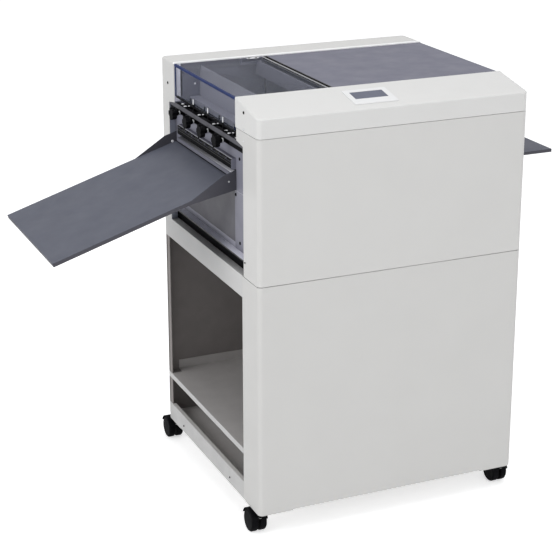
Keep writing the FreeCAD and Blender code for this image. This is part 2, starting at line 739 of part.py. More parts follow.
# ---- frames ------------------------------------------------------------------------------
def machine_base():
    """Base in four sheets round the waste opening, with an upright edge at each end."""
    x0, x1 = x_end + end_sheet, x_end_right - end_sheet
    y0, y1 = front + sheet + 2.0, back - sheet - 2.0
    z0, z1, z_edge = z_machine, z_machine + base_sheet, z_machine + channel_h - gap
    x_chute = chute_w / 2
    y_chute0, y_chute1 = path_centre_y - chute_d / 2, path_centre_y + chute_d / 2
    ends = [fused(box(x0, -x_chute, y0, y1, z0, z1), box(x0, x0 + base_sheet, y0, y1, z0, z_edge)),
            fused(box(x_chute, x1, y0, y1, z0, z1), box(x1 - base_sheet, x1, y0, y1, z0, z_edge))]
    return ends + [box(-x_chute, x_chute, y0, y_chute0, z0, z1),
                   box(-x_chute, x_chute, y_chute1, y1, z0, z1)]


def shaft_places():
    """Every turning shaft: (x, z, radius)."""
    return [(exit_roller_x, z_low_roller, shaft_r), (exit_roller_x, z_high_roller, shaft_r),
            (infeed_roller_x, z_low_roller, shaft_r), (infeed_roller_x, z_high_roller, shaft_r),
            (pickup_x, z_pickup, shaft_r), (crease_x, z_cam, cam_shaft_r)]


def frame_plate(y0, z1):
    x0, x1 = x_end + end_sheet + base_sheet + gap, x_end_right - end_sheet - base_sheet - gap
    plate = box(x0, x1, y0, y0 + frame_t, z_machine + base_sheet, z1)
    tab = box(x_clamp + clamp_w, x0 + 1, y0, y0 + frame_t, z_machine + upper_plate_top + gap,
              z_rail)
    holes = [rod(x, y0 - 30, z, Y_AXIS, r + run, 60) for x, z, r in shaft_places()]
    return fused(plate, tab), holes


def beam_ribs(y0, y1):
    half = beam_w / 2 + gap
    return [box(crease_x + s * half - (guide_rib_w if s < 0 else 0),
                crease_x + s * half + (0 if s < 0 else guide_rib_w), y0, y1,
                z_path + 12.0, z_beam_top) for s in (-1, 1)]


def front_frame():
    z1 = z_cover_under - gap
    plate, holes = frame_plate(y_front_frame, z1)
    ledge = box(x_end + 6, x_end_right - 6, y_front_frame, y_front_frame + frame_ledge,
                z1 - frame_t, z1)
    stay = box(stay_x, stay_x + stay_t, y_front_frame, y_rear_frame - gap,
               z_cover_under - guard_drop - stay_h, z_cover_under - guard_drop)
    stay = stay.cut(hinge_room(stay_x - 1, stay_x + stay_t + 1))
    frame = fused(plate, ledge, stay, *beam_ribs(y_frame_in, y_frame_in + guide_rib_d))
    return frame.cut(holes)


def rear_frame():
    z1 = z_hinge - hinge_block - gap
    plate, holes = frame_plate(y_rear_frame, z1)
    motor_hole = rod(motor_x, y_rear_frame - 1, z_motor, Y_AXIS, motor_shaft_r + 2.0, frame_t + 2)
    z_block = z_machine + block_z
    block = box(x_clamp + clamp_w - block_w, x_end + 2 * end_sheet + base_sheet, y_rear_frame,
                y_rear_frame + frame_t, z_block, z_block + block_h)
    frame = fused(plate, block, *beam_ribs(y_rear_frame - guide_rib_d, y_rear_frame))
    return frame.cut(holes + [motor_hole])


# ---- rollers and drive -------------------------------------------------------------------
def pulley(x, z, row):
    """Belt pulley with a flange on its outer side."""
    y_row = y_pulley + row * pulley_row
    rim = rod(x, y_row, z, Y_AXIS, pulley_r, pulley_w + flange_w)
    return fused(rim, rod(x, y_row + flange_w + pulley_w, z, Y_AXIS, flange_r, flange_w))


def roller(x, z, radius, width, pulley_rows=()):
    """Shaft with a rubber sleeve, and its belt pulleys behind the rear frame."""
    y0 = y_front_frame - shaft_end
    y1 = y_rear_frame + frame_t + shaft_end
    if pulley_rows:
        y1 = y_pulley + (max(pulley_rows) + 1) * pulley_row
    pulleys = [pulley(x, z, row) for row in pulley_rows]
    sleeve = rod(x, path_centre_y - width / 2, z, Y_AXIS, radius, width)
    return fused(rod(x, y0, z, Y_AXIS, shaft_r, y1 - y0), sleeve, *pulleys)


def belt_loop(x0, z0, x1, z1, row):
    """Flat belt round two equal pulleys."""
    y0 = y_pulley + row * pulley_row + flange_w + (pulley_w - belt_w) / 2
    length = math.hypot(x1 - x0, z1 - z0)

    def band(radius):
        body = Part.makeBox(length, belt_w, 2 * radius, V(0, 0, -radius))
        ends = [Part.makeCylinder(radius, belt_w, V(x, 0, 0), Y_AXIS) for x in (0, length)]
        return fused(body, *ends)

    loop = band(pulley_r + gap / 2 + belt_t).cut(band(pulley_r + gap / 2))
    turn = FreeCAD.Rotation(Y_AXIS, -math.degrees(math.atan2(z1 - z0, x1 - x0)))
    loop.Placement = FreeCAD.Placement(V(x0, y0, z0), turn)
    return loop


def drive_motor():
    y1 = y_rear_frame
    can = rod(motor_x, y1 - motor_len, z_motor, Y_AXIS, motor_r, motor_len - motor_flange_t)
    face = box(motor_x - motor_r, motor_x + motor_r, y1 - motor_flange_t, y1,
               z_motor - motor_r, z_motor + motor_r)
    bore = rod(motor_x, y1 - motor_shaft_deep - 1, z_motor, Y_AXIS, motor_shaft_r + run,
               motor_shaft_deep + 2)
    return fused(can, face).cut(bore)


def motor_pulley():
    """Motor shaft with its pulley in the second belt row."""
    row = 1
    y0, y1 = y_rear_frame - motor_shaft_deep, y_pulley + (row + 1) * pulley_row
    shaft = rod(motor_x, y0, z_motor, Y_AXIS, motor_shaft_r, y1 - y0)
    return fused(shaft, pulley(motor_x, z_motor, row))


# ---- creasing unit -----------------------------------------------------------------------
def creasing_beam():
    """Press beam with the creasing blade along its lower edge."""
    z_edge = z_path + blade_lift
    z_blade = z_edge + blade_h
    half = beam_w / 2
    w = blade_t / 2
    profile = [(crease_x - w, z_edge + w), (crease_x, z_edge), (crease_x + w, z_edge + w),
               (crease_x + w, z_blade), (crease_x + half, z_blade + half),
               (crease_x + half, z_beam_top), (crease_x - half, z_beam_top),
               (crease_x - half, z_blade + half), (crease_x - w, z_blade)]
    return plate_xz(profile, y_front_frame + frame_t + gap, y_rear_frame - gap)


def creasing_anvil():
    z1 = z_path - anvil_gap
    half, g = anvil_w / 2, groove_w / 2
    profile = [(crease_x - half, z1 - anvil_h), (crease_x + half, z1 - anvil_h),
               (crease_x + half, z1 - 4), (crease_x + half - 6, z1), (crease_x + g, z1),
               (crease_x + g, z1 - groove_deep), (crease_x - g, z1 - groove_deep),
               (crease_x - g, z1), (crease_x - half + 6, z1), (crease_x - half, z1 - 4)]
    return plate_xz(profile, y_front_frame + frame_t, y_rear_frame)


def cam_radius(angle):
    """Radius at an angle (degrees) behind the downward line: a spiral that lifts evenly."""
    if angle <= cam_turn:
        return cam_r + cam_rise * math.radians(angle)
    if angle <= cam_turn + cam_hold:
        return cam_r + stroke
    share = (angle - cam_turn - cam_hold) / (cam_return - cam_turn - cam_hold)
    return cam_r + stroke * (1 + math.cos(math.pi * min(share, 1.0))) / 2


def cam(y):
    """Plate cam whose rim is drawn through its radii as a chain of arcs."""
    def rim(angle):
        a = math.radians(angle)
        r = cam_radius(angle % 360)
        return V(crease_x + r * math.sin(a), y, z_cam - r * math.cos(a))

    arcs = [Part.Arc(rim(a), rim(a + cam_arc / 2), rim(a + cam_arc)).toShape()
            for a in range(0, 360, cam_arc)]
    return Part.Face(Part.Wire(arcs)).extrude(V(0, cam_w, 0))


def camshaft():
    """Shaft along Y with two snail cams that push the beam down evenly as it turns."""
    y0, y1 = y_front_frame - shaft_end, y_rear_frame + frame_t + shaft_end
    cams = [cam(y) for y in (y_front_frame + cam_inset, y_rear_frame - cam_inset - cam_w)]
    return fused(rod(crease_x, y0, z_cam, Y_AXIS, cam_shaft_r, y1 - y0), *cams)


# ---- exit end ----------------------------------------------------------------------------
def exit_rail():
    y0, y1 = y_bar_front, y_bar_back
    rail = box(x_rail, x_rail + rail_w, y0, y1, z_rail - rail_h, z_rail)
    edges = [e for e in rail.Edges if abs(e.Length - (y1 - y0)) < 1e-6]
    return rail.makeFillet(1.5, edges)


def clamp_bars():
    """Slotted bar under the rail, and the bar behind the carriages between the frames."""
    y0, y1 = y_bar_front, y_bar_back
    bar = box(x_clamp, x_clamp + clamp_w, y0, y1, z_clamp - clamp_h, z_clamp)
    slots = []
    r = knob_stem_r + 0.5
    for y in knob_ys:
        slots.append(box(x_clamp - 1, x_clamp + clamp_w + 1, y - carriage_travel,
                         y + carriage_travel, z_knob - r, z_knob + r))
        slots += [rod(x_clamp - 1, y + s * carriage_travel, z_knob, X_AXIS, r, clamp_w + 2)
                  for s in (-1, 1)]
    x_in = x_carriage + carriage_block_d + gap
    inner = box(x_in, x_in + inner_bar_w, y_front_frame + frame_t, y_rear_frame,
                z_rail - inner_bar_h, z_rail)
    return [bar.cut(slots), inner]


def carriage(y):
    z_top_face = z_rail + gap
    block = box(x_carriage, x_carriage + carriage_block_d, y - carriage_w / 2,
                y + carriage_w / 2, z_clamp - clamp_h, z_top_face)
    saddle = box(x_carriage - saddle_reach, x_carriage + carriage_block_d, y - saddle_ahead,
                 y + carriage_w / 2, z_top_face, z_top_face + carriage_saddle_t)
    pin = rod(x_carriage + carriage_block_d - 4, y, z_top_face, Z_AXIS, pin_r,
              carriage_saddle_t + pin_h)
    bore = rod(x_carriage - 1, y, z_knob, X_AXIS, knob_stem_r + run, knob_grip + 2)
    return fused(block, saddle, pin).cut(bore)


def knob(y):
    """Lobed clamping knob with a tapered hub, on its screw."""
    x1 = x_clamp - knob_standoff
    x0 = x1 - knob_t
    disc = rod(x0, y, z_knob, X_AXIS, knob_r, knob_t)
    flutes = []
    for i in range(knob_lobes):
        a = 2 * math.pi * (i + 0.5) / knob_lobes
        flutes.append(rod(x0 - 1, y + knob_flute_out * math.cos(a),
                          z_knob + knob_flute_out * math.sin(a), X_AXIS, knob_flute_r,
                          knob_t + 2))
    hub = Part.makeCone(knob_hub_r, knob_hub_end_r, knob_hub_l, V(x1, y, z_knob), X_AXIS)
    stem = rod(x1, y, z_knob, X_AXIS, knob_stem_r, x_carriage + knob_grip - x1)
    return fused(disc.cut(flutes), hub, stem)


def exit_guide():
    """Black guide over the exit slit with a row of long slots."""
    z0 = z_path + exit_gap / 2
    half = exit_w / 2 - 2.0
    x0, e = x_end - guide_d, guide_edge
    profile = [(x0, z0 + e), (x0 + e, z0), (x_end, z0), (x_end, z0 + guide_h),
               (x0 + e, z0 + guide_h), (x0, z0 + guide_h - e)]
    body = plate_xz(profile, path_centre_y - half, path_centre_y + half)
    pitch = 2 * half / guide_slots
    z_slot = z0 + guide_slot_up
    slots = []
    for i in range(guide_slots):
        y = path_centre_y - half + pitch * (i + 0.5)
        slots.append(box(x0 - 1, x0 + guide_slot_deep, y - guide_slot_w / 2,
                         y + guide_slot_w / 2, z_slot - guide_slot_h / 2,
                         z_slot + guide_slot_h / 2))
    return body.cut(slots)


def exit_lip():
    z1 = z_path - exit_gap / 2
    t = sheet
    x0 = x_end - lip_reach
    profile = [(x_end, z1), (x_end - 2, z1), (x0, z1 - lip_slant),
               (x0, z1 - lip_slant - lip_drop), (x0 + t, z1 - lip_slant - lip_drop),
               (x0 + t, z1 - lip_slant - 0.6), (x_end - 1.5, z1 - t), (x_end, z1 - t)]
    half = exit_w / 2 - tray_sheet - 1.0
    return plate_xz(profile, path_centre_y - half, path_centre_y + half)


def exit_tray():
    """Sloping sheet with folded edges and a gusset at each side that meets the end panel."""
    a = math.radians(tray_slope)
    t = tray_sheet
    x_in = x_end - gap
    z_in = z_machine + tray_inner_z
    ux, uz = -math.cos(a), -math.sin(a)
    x_tip, z_tip = x_in + ux * tray_len, z_in + uz * tray_len
    y0, y1 = path_centre_y - exit_w / 2, y_end_back - gap

    def down(x, z, depth):
        return x + math.sin(a) * depth, z - math.cos(a) * depth

    top = plate_xz([(x_in, z_in), (x_tip, z_tip), down(x_tip, z_tip, t),
                    (x_in, z_in - t / math.cos(a))], y0, y1)
    tip_fold = plate_xz([(x_tip, z_tip), (x_tip - ux * t, z_tip - uz * t),
                         down(x_tip - ux * t, z_tip - uz * t, tray_edge),
                         down(x_tip, z_tip, tray_edge)], y0, y1)
    xg, zg = x_in + ux * tray_gusset_len, z_in + uz * tray_gusset_len
    x_kink, z_kink = x_in + ux * tray_kink_in, z_in + uz * tray_kink_in + tray_kink_rise
    side = [(x_tip, z_tip), (xg, zg), (x_kink, z_kink), (x_in, z_in + tray_gusset_rise),
            (x_in, z_in - tray_gusset_drop), down(xg, zg, tray_edge),
            down(x_tip, z_tip, tray_edge)]
    sides = [plate_xz(side, y, y + t) for y in (y0, y1 - t)]
    return fused(top, tip_fold, *sides)


# ---- feed end ----------------------------------------------------------------------------
def feed_table():
    """Feed table outside the throat, slotted for the two side guides."""
    x0 = x_end_right - end_sheet - table_reach
    x1 = x_end_right + table_len
    y0, y1 = path_centre_y - table_w / 2, path_centre_y + table_w / 2
    t = sheet
    top = box(x0, x1, y0, y1, z_table - t, z_table)
    x_edge = x_end_right + gap
    folds = [box(x_edge, x1, y0, y0 + t, z_table - table_edge, z_table),
             box(x_edge, x1, y1 - t, y1, z_table - table_edge, z_table),
             box(x1 - t, x1, y0, y1, z_table - table_edge, z_table)]
    bracket = [plate_xz([(x_edge, z_table - t), (x_edge + table_bracket_l, z_table - t),
                         (x_edge, z_table - table_bracket_h)], y, y + t)
               for y in (y0 + table_bracket_in, y1 - table_bracket_in - t)]
    slots = [box(x_guide - table_slot_w / 2, x_guide + table_slot_w / 2,
                 path_centre_y + s * side_guide_spread - (table_slot_len if s > 0 else 5),
                 path_centre_y + s * side_guide_spread + (5 if s > 0 else table_slot_len),
                 z_table - t - 1, z_table + 1) for s in (-1, 1)]
    return fused(top, *(folds + bracket)).cut(slots)


def feed_guide(side):
    """Upright fence on the feed table with a foot and a stud through the table's slot."""
    y_face = path_centre_y + side * side_guide_spread
    x0 = x_guide - side_guide_len / 2 + side_guide_in
    x1 = x0 + side_guide_len
    t = 2.0
    z0 = z_table + gap
    y_out = y_face + side * t
    fence = box(x0, x1, min(y_face, y_out), max(y_face, y_out), z0, z0 + side_guide_h)
    y_foot = y_face - side * side_guide_foot
    foot = box(x0 + 20, x1 - 20, min(y_face, y_foot), max(y_face, y_foot), z0, z0 + t)
    y_stud = y_face - side * 6.0
    stud = rod(x_guide, y_stud, z_table - 6.0, Z_AXIS, table_slot_w / 2 - gap, 7.0)
    return fused(fence, foot, stud)


# ---- hinged covers -----------------------------------------------------------------------
def hinge_starts():
    """Left end of each hinge: one for the clear cover, two for the lid."""
    return [x_clear_right - 2.0 * hinge_ear_w - hinge_w, x_lid_left + 60.0,
            right - 60.0 - hinge_w]


def swing_room(x0, x1):
    """Space that a cover's upright end may fill and still swing past the ridge."""
    return rod(x0, y_hinge, z_hinge, X_AXIS, y_hinge - y_cover_front, x1 - x0)


def hinge_notches():
    notches = []
    for x in hinge_starts():
        for x_ear in (x, x + hinge_w + hinge_ear_w):
            notches.append(box(x_ear - gap, x_ear + hinge_ear_w + gap, y_hinge - 4.5,
                               y_back_inner + 1, z_cover - 40.0, z_cover + 1))
        notches.append(rod(x - 1, y_hinge, z_hinge, X_AXIS, hinge_pin_r + run,
                           hinge_w + 2 * hinge_ear_w + 2))
    return notches


def cover_hinges():
    """Three brackets on the back cover's inner fold; the pins join their ears."""
    brackets = []
    for x in hinge_starts():
        x1 = x + hinge_w + 2 * hinge_ear_w
        z_block = z_hinge - hinge_block
        base = box(x, x1, y_hinge_base, y_back_inner, z_block - hinge_base_t, z_block)
        ears = [box(x_ear, x_ear + hinge_ear_w, y_hinge - 3.5, y_back_inner, z_block, z_hinge + 2)
                for x_ear in (x, x1 - hinge_ear_w)]
        pin = rod(x, y_hinge, z_hinge, X_AXIS, hinge_pin_r, x1 - x)
        brackets.append(fused(base, pin, *ears))
    return brackets


def clear_cover():
    """Acrylic cover over the exit end: top sheet and upright end."""
    x0 = left + gap
    top = box(x0, x_clear_right, y_cover_front, y_cover_back, z_cover - acrylic, z_cover)
    end = box(x0 + 1.0, x0 + 1.0 + acrylic_side, y_cover_front, y_cover_back, z_cover_side,
              z_cover - acrylic).common(swing_room(x0, x_clear_right))
    return fused(top, end).cut(hinge_notches())


def top_lid():
    """Steel lid over the feed end: folded edges, upright right end, hinge strap at the back."""
    x0, x1 = x_lid_left, right - lid_right_inset
    t = lid_sheet
    z1 = z_cover
    top = box(x0, x1, y_cover_front, y_cover_back, z1 - t, z1)
    rail_front = box(x0, x1, y_cover_front, y_cover_front + frame_ledge - 2, z1 - acrylic, z1)
    back_bar = box(x0, x1, y_hinge - 2.5, y_hinge + 2.5, z1 - acrylic, z1)
    left_fold = box(x0, x0 + t, y_front_frame + frame_ledge + 2, y_hinge - 8.0,
                    z1 - lid_edge, z1)
    end = box(x1 - t, x1, y_cover_front, y_cover_back, z_cover_side, z_cover - acrylic)
    end = end.common(swing_room(x0, x1))
    return fused(top, rail_front, back_bar, left_fold, end).cut(hinge_notches())


# ---- control panel, inlet and board ------------------------------------------------------
def screen_bezel():
    plate = box(bezel_x - bezel_w / 2, bezel_x + bezel_w / 2, bezel_up, bezel_up + bezel_d,
                0, bezel_t)
    edges = [e for e in plate.Edges if abs(e.Length - bezel_t) < 1e-6]
    plate = plate.makeFillet(2.0, edges)
    y0 = bezel_up + screen_up
    window = box(bezel_x - screen_w / 2, bezel_x + screen_w / 2, y0, y0 + screen_d, -1, 3)
    return on_slope(plate.cut(window))


def touch_screen():
    y0 = bezel_up + screen_up
    glass = box(bezel_x - screen_w / 2 + 0.2, bezel_x + screen_w / 2 - 0.2, y0 + 0.2,
                y0 + screen_d - 0.2, 0, bezel_t - 0.6)
    return on_slope(glass)


def power_inlet():
    """Inlet and switch body through the back cover, with its three contact blades."""
    w, h = inlet_w / 2, inlet_h / 2
    body = box(x_inlet_0, x_inlet_1, back - inlet_deep, back, z_inlet - h, z_inlet + h)
    rim = box(x_inlet_0 - inlet_rim, x_inlet_1 + inlet_rim, back, back + 1.5,
              z_inlet - h - inlet_rim, z_inlet + h + inlet_rim)
    socket = box(inlet_x - w, inlet_x + w, back - 16.0, back + 2, z_inlet - h + inlet_wall,
                 z_inlet + h - inlet_wall)
    pocket = box(x_switch - switch_w / 2, x_switch + switch_w / 2, back - 10.0, back + 2,
                 z_inlet - switch_h / 2, z_inlet + switch_h / 2)
    blades = [box(inlet_x + dx - 1, inlet_x + dx + 1, back - 17.0, back - 4.0, z_inlet + dz - 2,
                  z_inlet + dz + 2) for dx, dz in ((-7, -2.0), (0, 3.0), (7, -2.0))]
    w_pin = switch_w / 2 + switch_pin_len + gap
    pin_hole = rod(x_switch - w_pin, back - switch_axis_deep, z_inlet, X_AXIS,
                   switch_pin_r + run, 2 * w_pin)
    return fused(fused(body, rim).cut([socket, pocket, pin_hole]), *blades)


def rocker_switch():
    """Rocker that tilts on the two pins at its sides."""
    w = switch_w / 2 - gap
    h = switch_h / 2 - gap - 1.2
    lean = h * math.tan(math.radians(switch_tilt / 2))
    y_low, y_high = back + switch_proud - lean, back + switch_proud + lean
    profile = [(back - 5.0, z_inlet - 4), (back - 0.5, z_inlet - h), (y_low, z_inlet - h),
               (back + switch_proud / 2, z_inlet), (y_high, z_inlet + h),
               (back - 0.5, z_inlet + h), (back - 5.0, z_inlet + 4)]
    rocker = plate_yz(profile, x_switch - w, x_switch + w)
    w_pin = switch_w / 2 + switch_pin_len
    return fused(rocker, rod(x_switch - w_pin, back - switch_axis_deep, z_inlet, X_AXIS,
                             switch_pin_r, 2 * w_pin))


def control_board():
    y1 = y_front_frame - gap
    y0 = y1 - board_standoff
    zc = z_machine + board_z
    board = box(-board_w / 2, board_w / 2, y0 - board_t, y0, zc - board_h / 2, zc + board_h / 2)
    posts = [rod(sx * (board_w / 2 - board_hole_in), y0, zc + sz * (board_h / 2 - board_hole_in),
                 Y_AXIS, 3.0, board_standoff + gap) for sx in (-1, 1) for sz in (-1, 1)]
    chips = [box(x, x + w, y0 - board_t - h, y0 - board_t, zc + z, zc + z + d)
             for x, z, w, d, h in board_chips]
    return fused(board, *(posts + chips))


# ---- build -------------------------------------------------------------------------------
def all_pieces():
    pieces = {
        "stand_front_panel": stand_front_panel(),
        "stand_back_panel": stand_back_panel(),
        "stand_right_panel": stand_right_panel(),
        "stand_top_deck": stand_top_deck(),
        "stand_base_pan": stand_base_pan(),
        "stand_shelf": stand_shelf(),
        "corner_posts": corner_posts(),
        "castor_plates": castor_plates(),
        "machine_base": machine_base(),
        "front_frame": front_frame(),
        "rear_frame": rear_frame(),
        "front_cover": front_cover(),
        "control_cover": control_cover(),
        "back_cover": back_cover(),
        "exit_lower_panel": exit_lower_panel(),
        "exit_upper_plate": exit_upper_plate(),
        "feed_end_panel": feed_end_panel(),
        "clear_cover": clear_cover(),
        "cover_hinges": cover_hinges(),
        "top_lid": top_lid(),
        "exit_rail": exit_rail(),
        "clamp_bars": clamp_bars(),
        "exit_guide": exit_guide(),
        "exit_lip": exit_lip(),
        "exit_tray": exit_tray(),
        "feed_table": feed_table(),
        "feed_guide_front": feed_guide(-1),
        "feed_guide_back": feed_guide(1),
        "screen_bezel": screen_bezel(),
        "touch_screen": touch_screen(),
        "exit_drive_roller": roller(exit_roller_x, z_low_roller, roller_r, sleeve_w, (0,)),
        "exit_press_roller": roller(exit_roller_x, z_high_roller, roller_r, sleeve_w),
        "infeed_drive_roller": roller(infeed_roller_x, z_low_roller, roller_r, sleeve_w,
                                      (0, 1)),
        "infeed_press_roller": roller(infeed_roller_x, z_high_roller, roller_r, sleeve_w),
        "pickup_roller": roller(pickup_x, z_pickup, pickup_r, pickup_w),
        "creasing_beam": creasing_beam(),
        "creasing_anvil": creasing_anvil(),
        "camshaft": camshaft(),
        "drive_motor": drive_motor(),
        "motor_pulley": motor_pulley(),
        "drive_belts": [belt_loop(exit_roller_x, z_low_roller, infeed_roller_x, z_low_roller, 0),
                        belt_loop(motor_x, z_motor, infeed_roller_x, z_low_roller, 1)],
        "power_inlet": power_inlet(),
        "rocker_switch": rocker_switch(),
        "control_board": control_board(),
    }
    for corner, (x, y) in castor_places().items():
        pieces["castor_hood_" + corner] = castor_hood(x, y)
        pieces["castor_wheels_" + corner] = castor_wheels(x, y)
    for i, y in enumerate(knob_ys):
        pieces["carriage_%d" % (i + 1)] = carriage(y)
        pieces["knob_%d" % (i + 1)] = knob(y)
    return pieces


def as_shape(piece):
    return Part.makeCompound(piece) if isinstance(piece, list) else piece


def base_middle():
    """Middle of the whole machine's footprint: the origin that the parts are exported about."""
    tray_tip = x_end - gap - tray_len * math.cos(math.radians(tray_slope))
    table_tip = x_end_right + table_len
    castor_back = castor_y + castor_trail + wheel_r + fender_gap + fender_t
    return (tray_tip + table_tip) / 2, (front + castor_back) / 2


def main():
    pieces = {name: as_shape(piece) for name, piece in all_pieces().items()}
    x_mid, y_mid = base_middle()
    os.makedirs("parts", exist_ok=True)
    for name, shape in pieces.items():
        shape = shape.copy()
        shape.translate(V(-x_mid, -y_mid, 0))
        shape.exportStep(os.path.join("parts", name + ".step"))


if __name__ == "__main__":
    main()
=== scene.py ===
import json
import math

import bmesh
import bpy
from mathutils import Matrix, Vector


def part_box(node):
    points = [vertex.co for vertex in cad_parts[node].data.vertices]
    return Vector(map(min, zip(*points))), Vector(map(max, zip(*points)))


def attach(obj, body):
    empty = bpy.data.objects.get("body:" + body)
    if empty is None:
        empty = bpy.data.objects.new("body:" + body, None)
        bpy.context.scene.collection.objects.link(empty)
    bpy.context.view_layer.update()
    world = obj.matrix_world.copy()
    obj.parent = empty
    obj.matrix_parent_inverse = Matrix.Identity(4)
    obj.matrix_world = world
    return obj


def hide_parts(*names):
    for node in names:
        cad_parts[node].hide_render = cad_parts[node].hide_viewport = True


bl_info = {
    "name": "Paper Creasing Machine",
    "version": (1, 0, 0),
    "blender": (4, 5, 0),
    "location": "View3D > Sidebar > Creaser",
    "description": "Dresses the packed paper creasing machine in paint, acrylic and fixings",
    "category": "Object",
}

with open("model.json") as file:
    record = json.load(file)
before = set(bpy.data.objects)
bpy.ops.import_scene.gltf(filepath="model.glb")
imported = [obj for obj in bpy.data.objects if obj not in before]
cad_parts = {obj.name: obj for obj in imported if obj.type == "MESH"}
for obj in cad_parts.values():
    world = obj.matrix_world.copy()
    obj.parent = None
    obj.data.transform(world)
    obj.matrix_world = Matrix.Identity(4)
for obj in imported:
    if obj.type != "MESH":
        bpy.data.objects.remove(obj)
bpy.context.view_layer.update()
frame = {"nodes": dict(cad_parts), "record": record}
BODY_OF = {node: body for body, nodes in frame["record"]["behaviour"]["bodies"].items()
           for node in nodes}
SLOT_OF = {row["node"]: row["material_slot"] for row in frame["record"]["subparts"]}
MM = 0.001

# Ways that the heads of fixings look.
EXIT_WAY, FRONT_WAY, UP_WAY = (-1, 0, 0), (0, -1, 0), (0, 0, 1)

# Places in millimetres from the cabinet's left, front and lower edges, as spot() takes them.
PANEL_X = 17.0                           # outer face of the grey end panels
HEM_Y = (60, 570)                        # where the covers' hems are coated grey
HEM_TOP_Z = 852                          # foot of the bare strip beside the clear cover
FOLD_Y = (500, 509)                      # fold under the covers' hinged edge
RIM_HIGHLIGHT_Y = (507, 518)                       # painted highlight along the back cover's top front edge
FOLD_TOP_Z = 941.5
LEDGE_Z = 600                            # just above the ledge under the lower exit end
GUIDE_FRONT_Y = 172                      # front end of the slotted guide
CARRIAGE_YS = (197, 289, 381, 473)       # middles of the four carriages
SADDLE_TOP_Z = 850.7                     # top of the carriages' saddles
RAIL_TOP_Z = 848.4
CLEAR_FOOT_Z = 864.5                     # lower edge of the clear sheet
LEAF_Y = (490, 498)                      # leaf of the clear cover's hinge, near white as a painted glint

# Mesh cleaning and rounding.
WELD = 0.02 * MM                         # points nearer than this are one
FLAT = math.radians(1.0)                 # faces that meet flatter than this are joined
CREASE = math.radians(32)                # edges sharper than this are rounded and stay sharp
PLATE_ROUND = 0.3 * MM
SCREW_SIDES = 20
NUT_SIDES = 6
NUT_PROFILE = [(3.1 * MM, 0.0), (5.2 * MM, 0.0), (5.6 * MM, 0.4 * MM), (5.6 * MM, 2.6 * MM),
               (5.2 * MM, 3.0 * MM), (3.1 * MM, 3.0 * MM), (3.1 * MM, 0.0)]
NUT_SETBACK = 5.8 * MM                   # foot of the nut before the clamp bars

# Stage.
SENSOR = 36.0
FLOOR_HALF = 14.0
FLOOR_TONE = (0.9, 0.9, 0.9)
DAYLIGHT = (0.97, 0.985, 1.0, 1)
LIT_HEIGHT = 0.6                         # height of the point that the lamps look at
LAMPS = (("key", (0.4, -4.4, 1.8), 3.0), ("side", (-4.2, -0.6, 1.6), 2.6),
         ("top", (-0.3, -0.6, 3.6), 3.0))   # name, way from that point and size of the disk

# Tones that no setting changes.
BLACK = (0.007, 0.007, 0.008)
BLUE_EDGE = (0.018, 0.032, 0.115)


# ---- places read from the frame ------------------------------------------------------------
def low(node):
    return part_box(node)[0]


def high(node):
    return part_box(node)[1]


LEFT, RIGHT = low("front_cover").x, high("front_cover").x
FRONT, BACK = low("front_cover").y, high("back_cover").y
Z_SKIRT = low("stand_front_panel").z
Z_MACHINE = low("machine_base").z


def spot(x, y, z):
    """Place given in millimetres from the cabinet's left, front and lower edges."""
    return Vector((LEFT + x * MM, FRONT + y * MM, Z_SKIRT + z * MM))


def top_of(node):
    """Height of a node's top in millimetres above the cabinet's lower edge."""
    return (high(node).z - Z_SKIRT) / MM


# ---- settings ------------------------------------------------------------------------------
def length(label, value, text):
    return bpy.props.FloatProperty(name=label, description=text, default=value, unit="LENGTH",
                                   precision=5)


def share(label, value, text):
    return bpy.props.FloatProperty(name=label, description=text, default=value, min=0.0)


def angle(label, degrees, text):
    return bpy.props.FloatProperty(name=label, description=text, default=math.radians(degrees),
                                   unit="ROTATION", subtype="ANGLE")


def colour(label, value, text):
    return bpy.props.FloatVectorProperty(name=label, description=text, default=value, size=3,
                                         subtype="COLOR", min=0.0, max=1.0)


class CreaserStage(bpy.types.PropertyGroup):
    lens: bpy.props.FloatProperty(name="Lens", default=102.19, subtype="DISTANCE_CAMERA",
                                  description="Focal length on a 36 mm wide sensor")
    shift: bpy.props.FloatProperty(name="Shift", default=-0.08,
                                   description="Vertical shift of the lens")
    place: bpy.props.FloatVectorProperty(
        name="Camera place", description="Where the camera stands", size=3, unit="LENGTH",
        default=(LEFT - 1.2503, FRONT - 2.9704, Z_SKIRT + 1.7198))
    yaw: angle("Yaw", 23.657, "Camera's turn to the right of +Y")
    pitch: angle("Pitch", 18.059, "Camera's tilt below the horizon")
    ambient: share("Ambient", 0.58, "Strength of the even studio light")
    key: share("Key lamp", 50.0, "Power of the soft lamp before the machine")
    side: share("Side lamp", 57.0, "Power of the soft lamp on the exit side")
    top: share("Top lamp", 46.0, "Power of the soft lamp overhead")
    floor_lift: share("Floor lift", 0.55, "How much the floor stays pale inside the shadow")


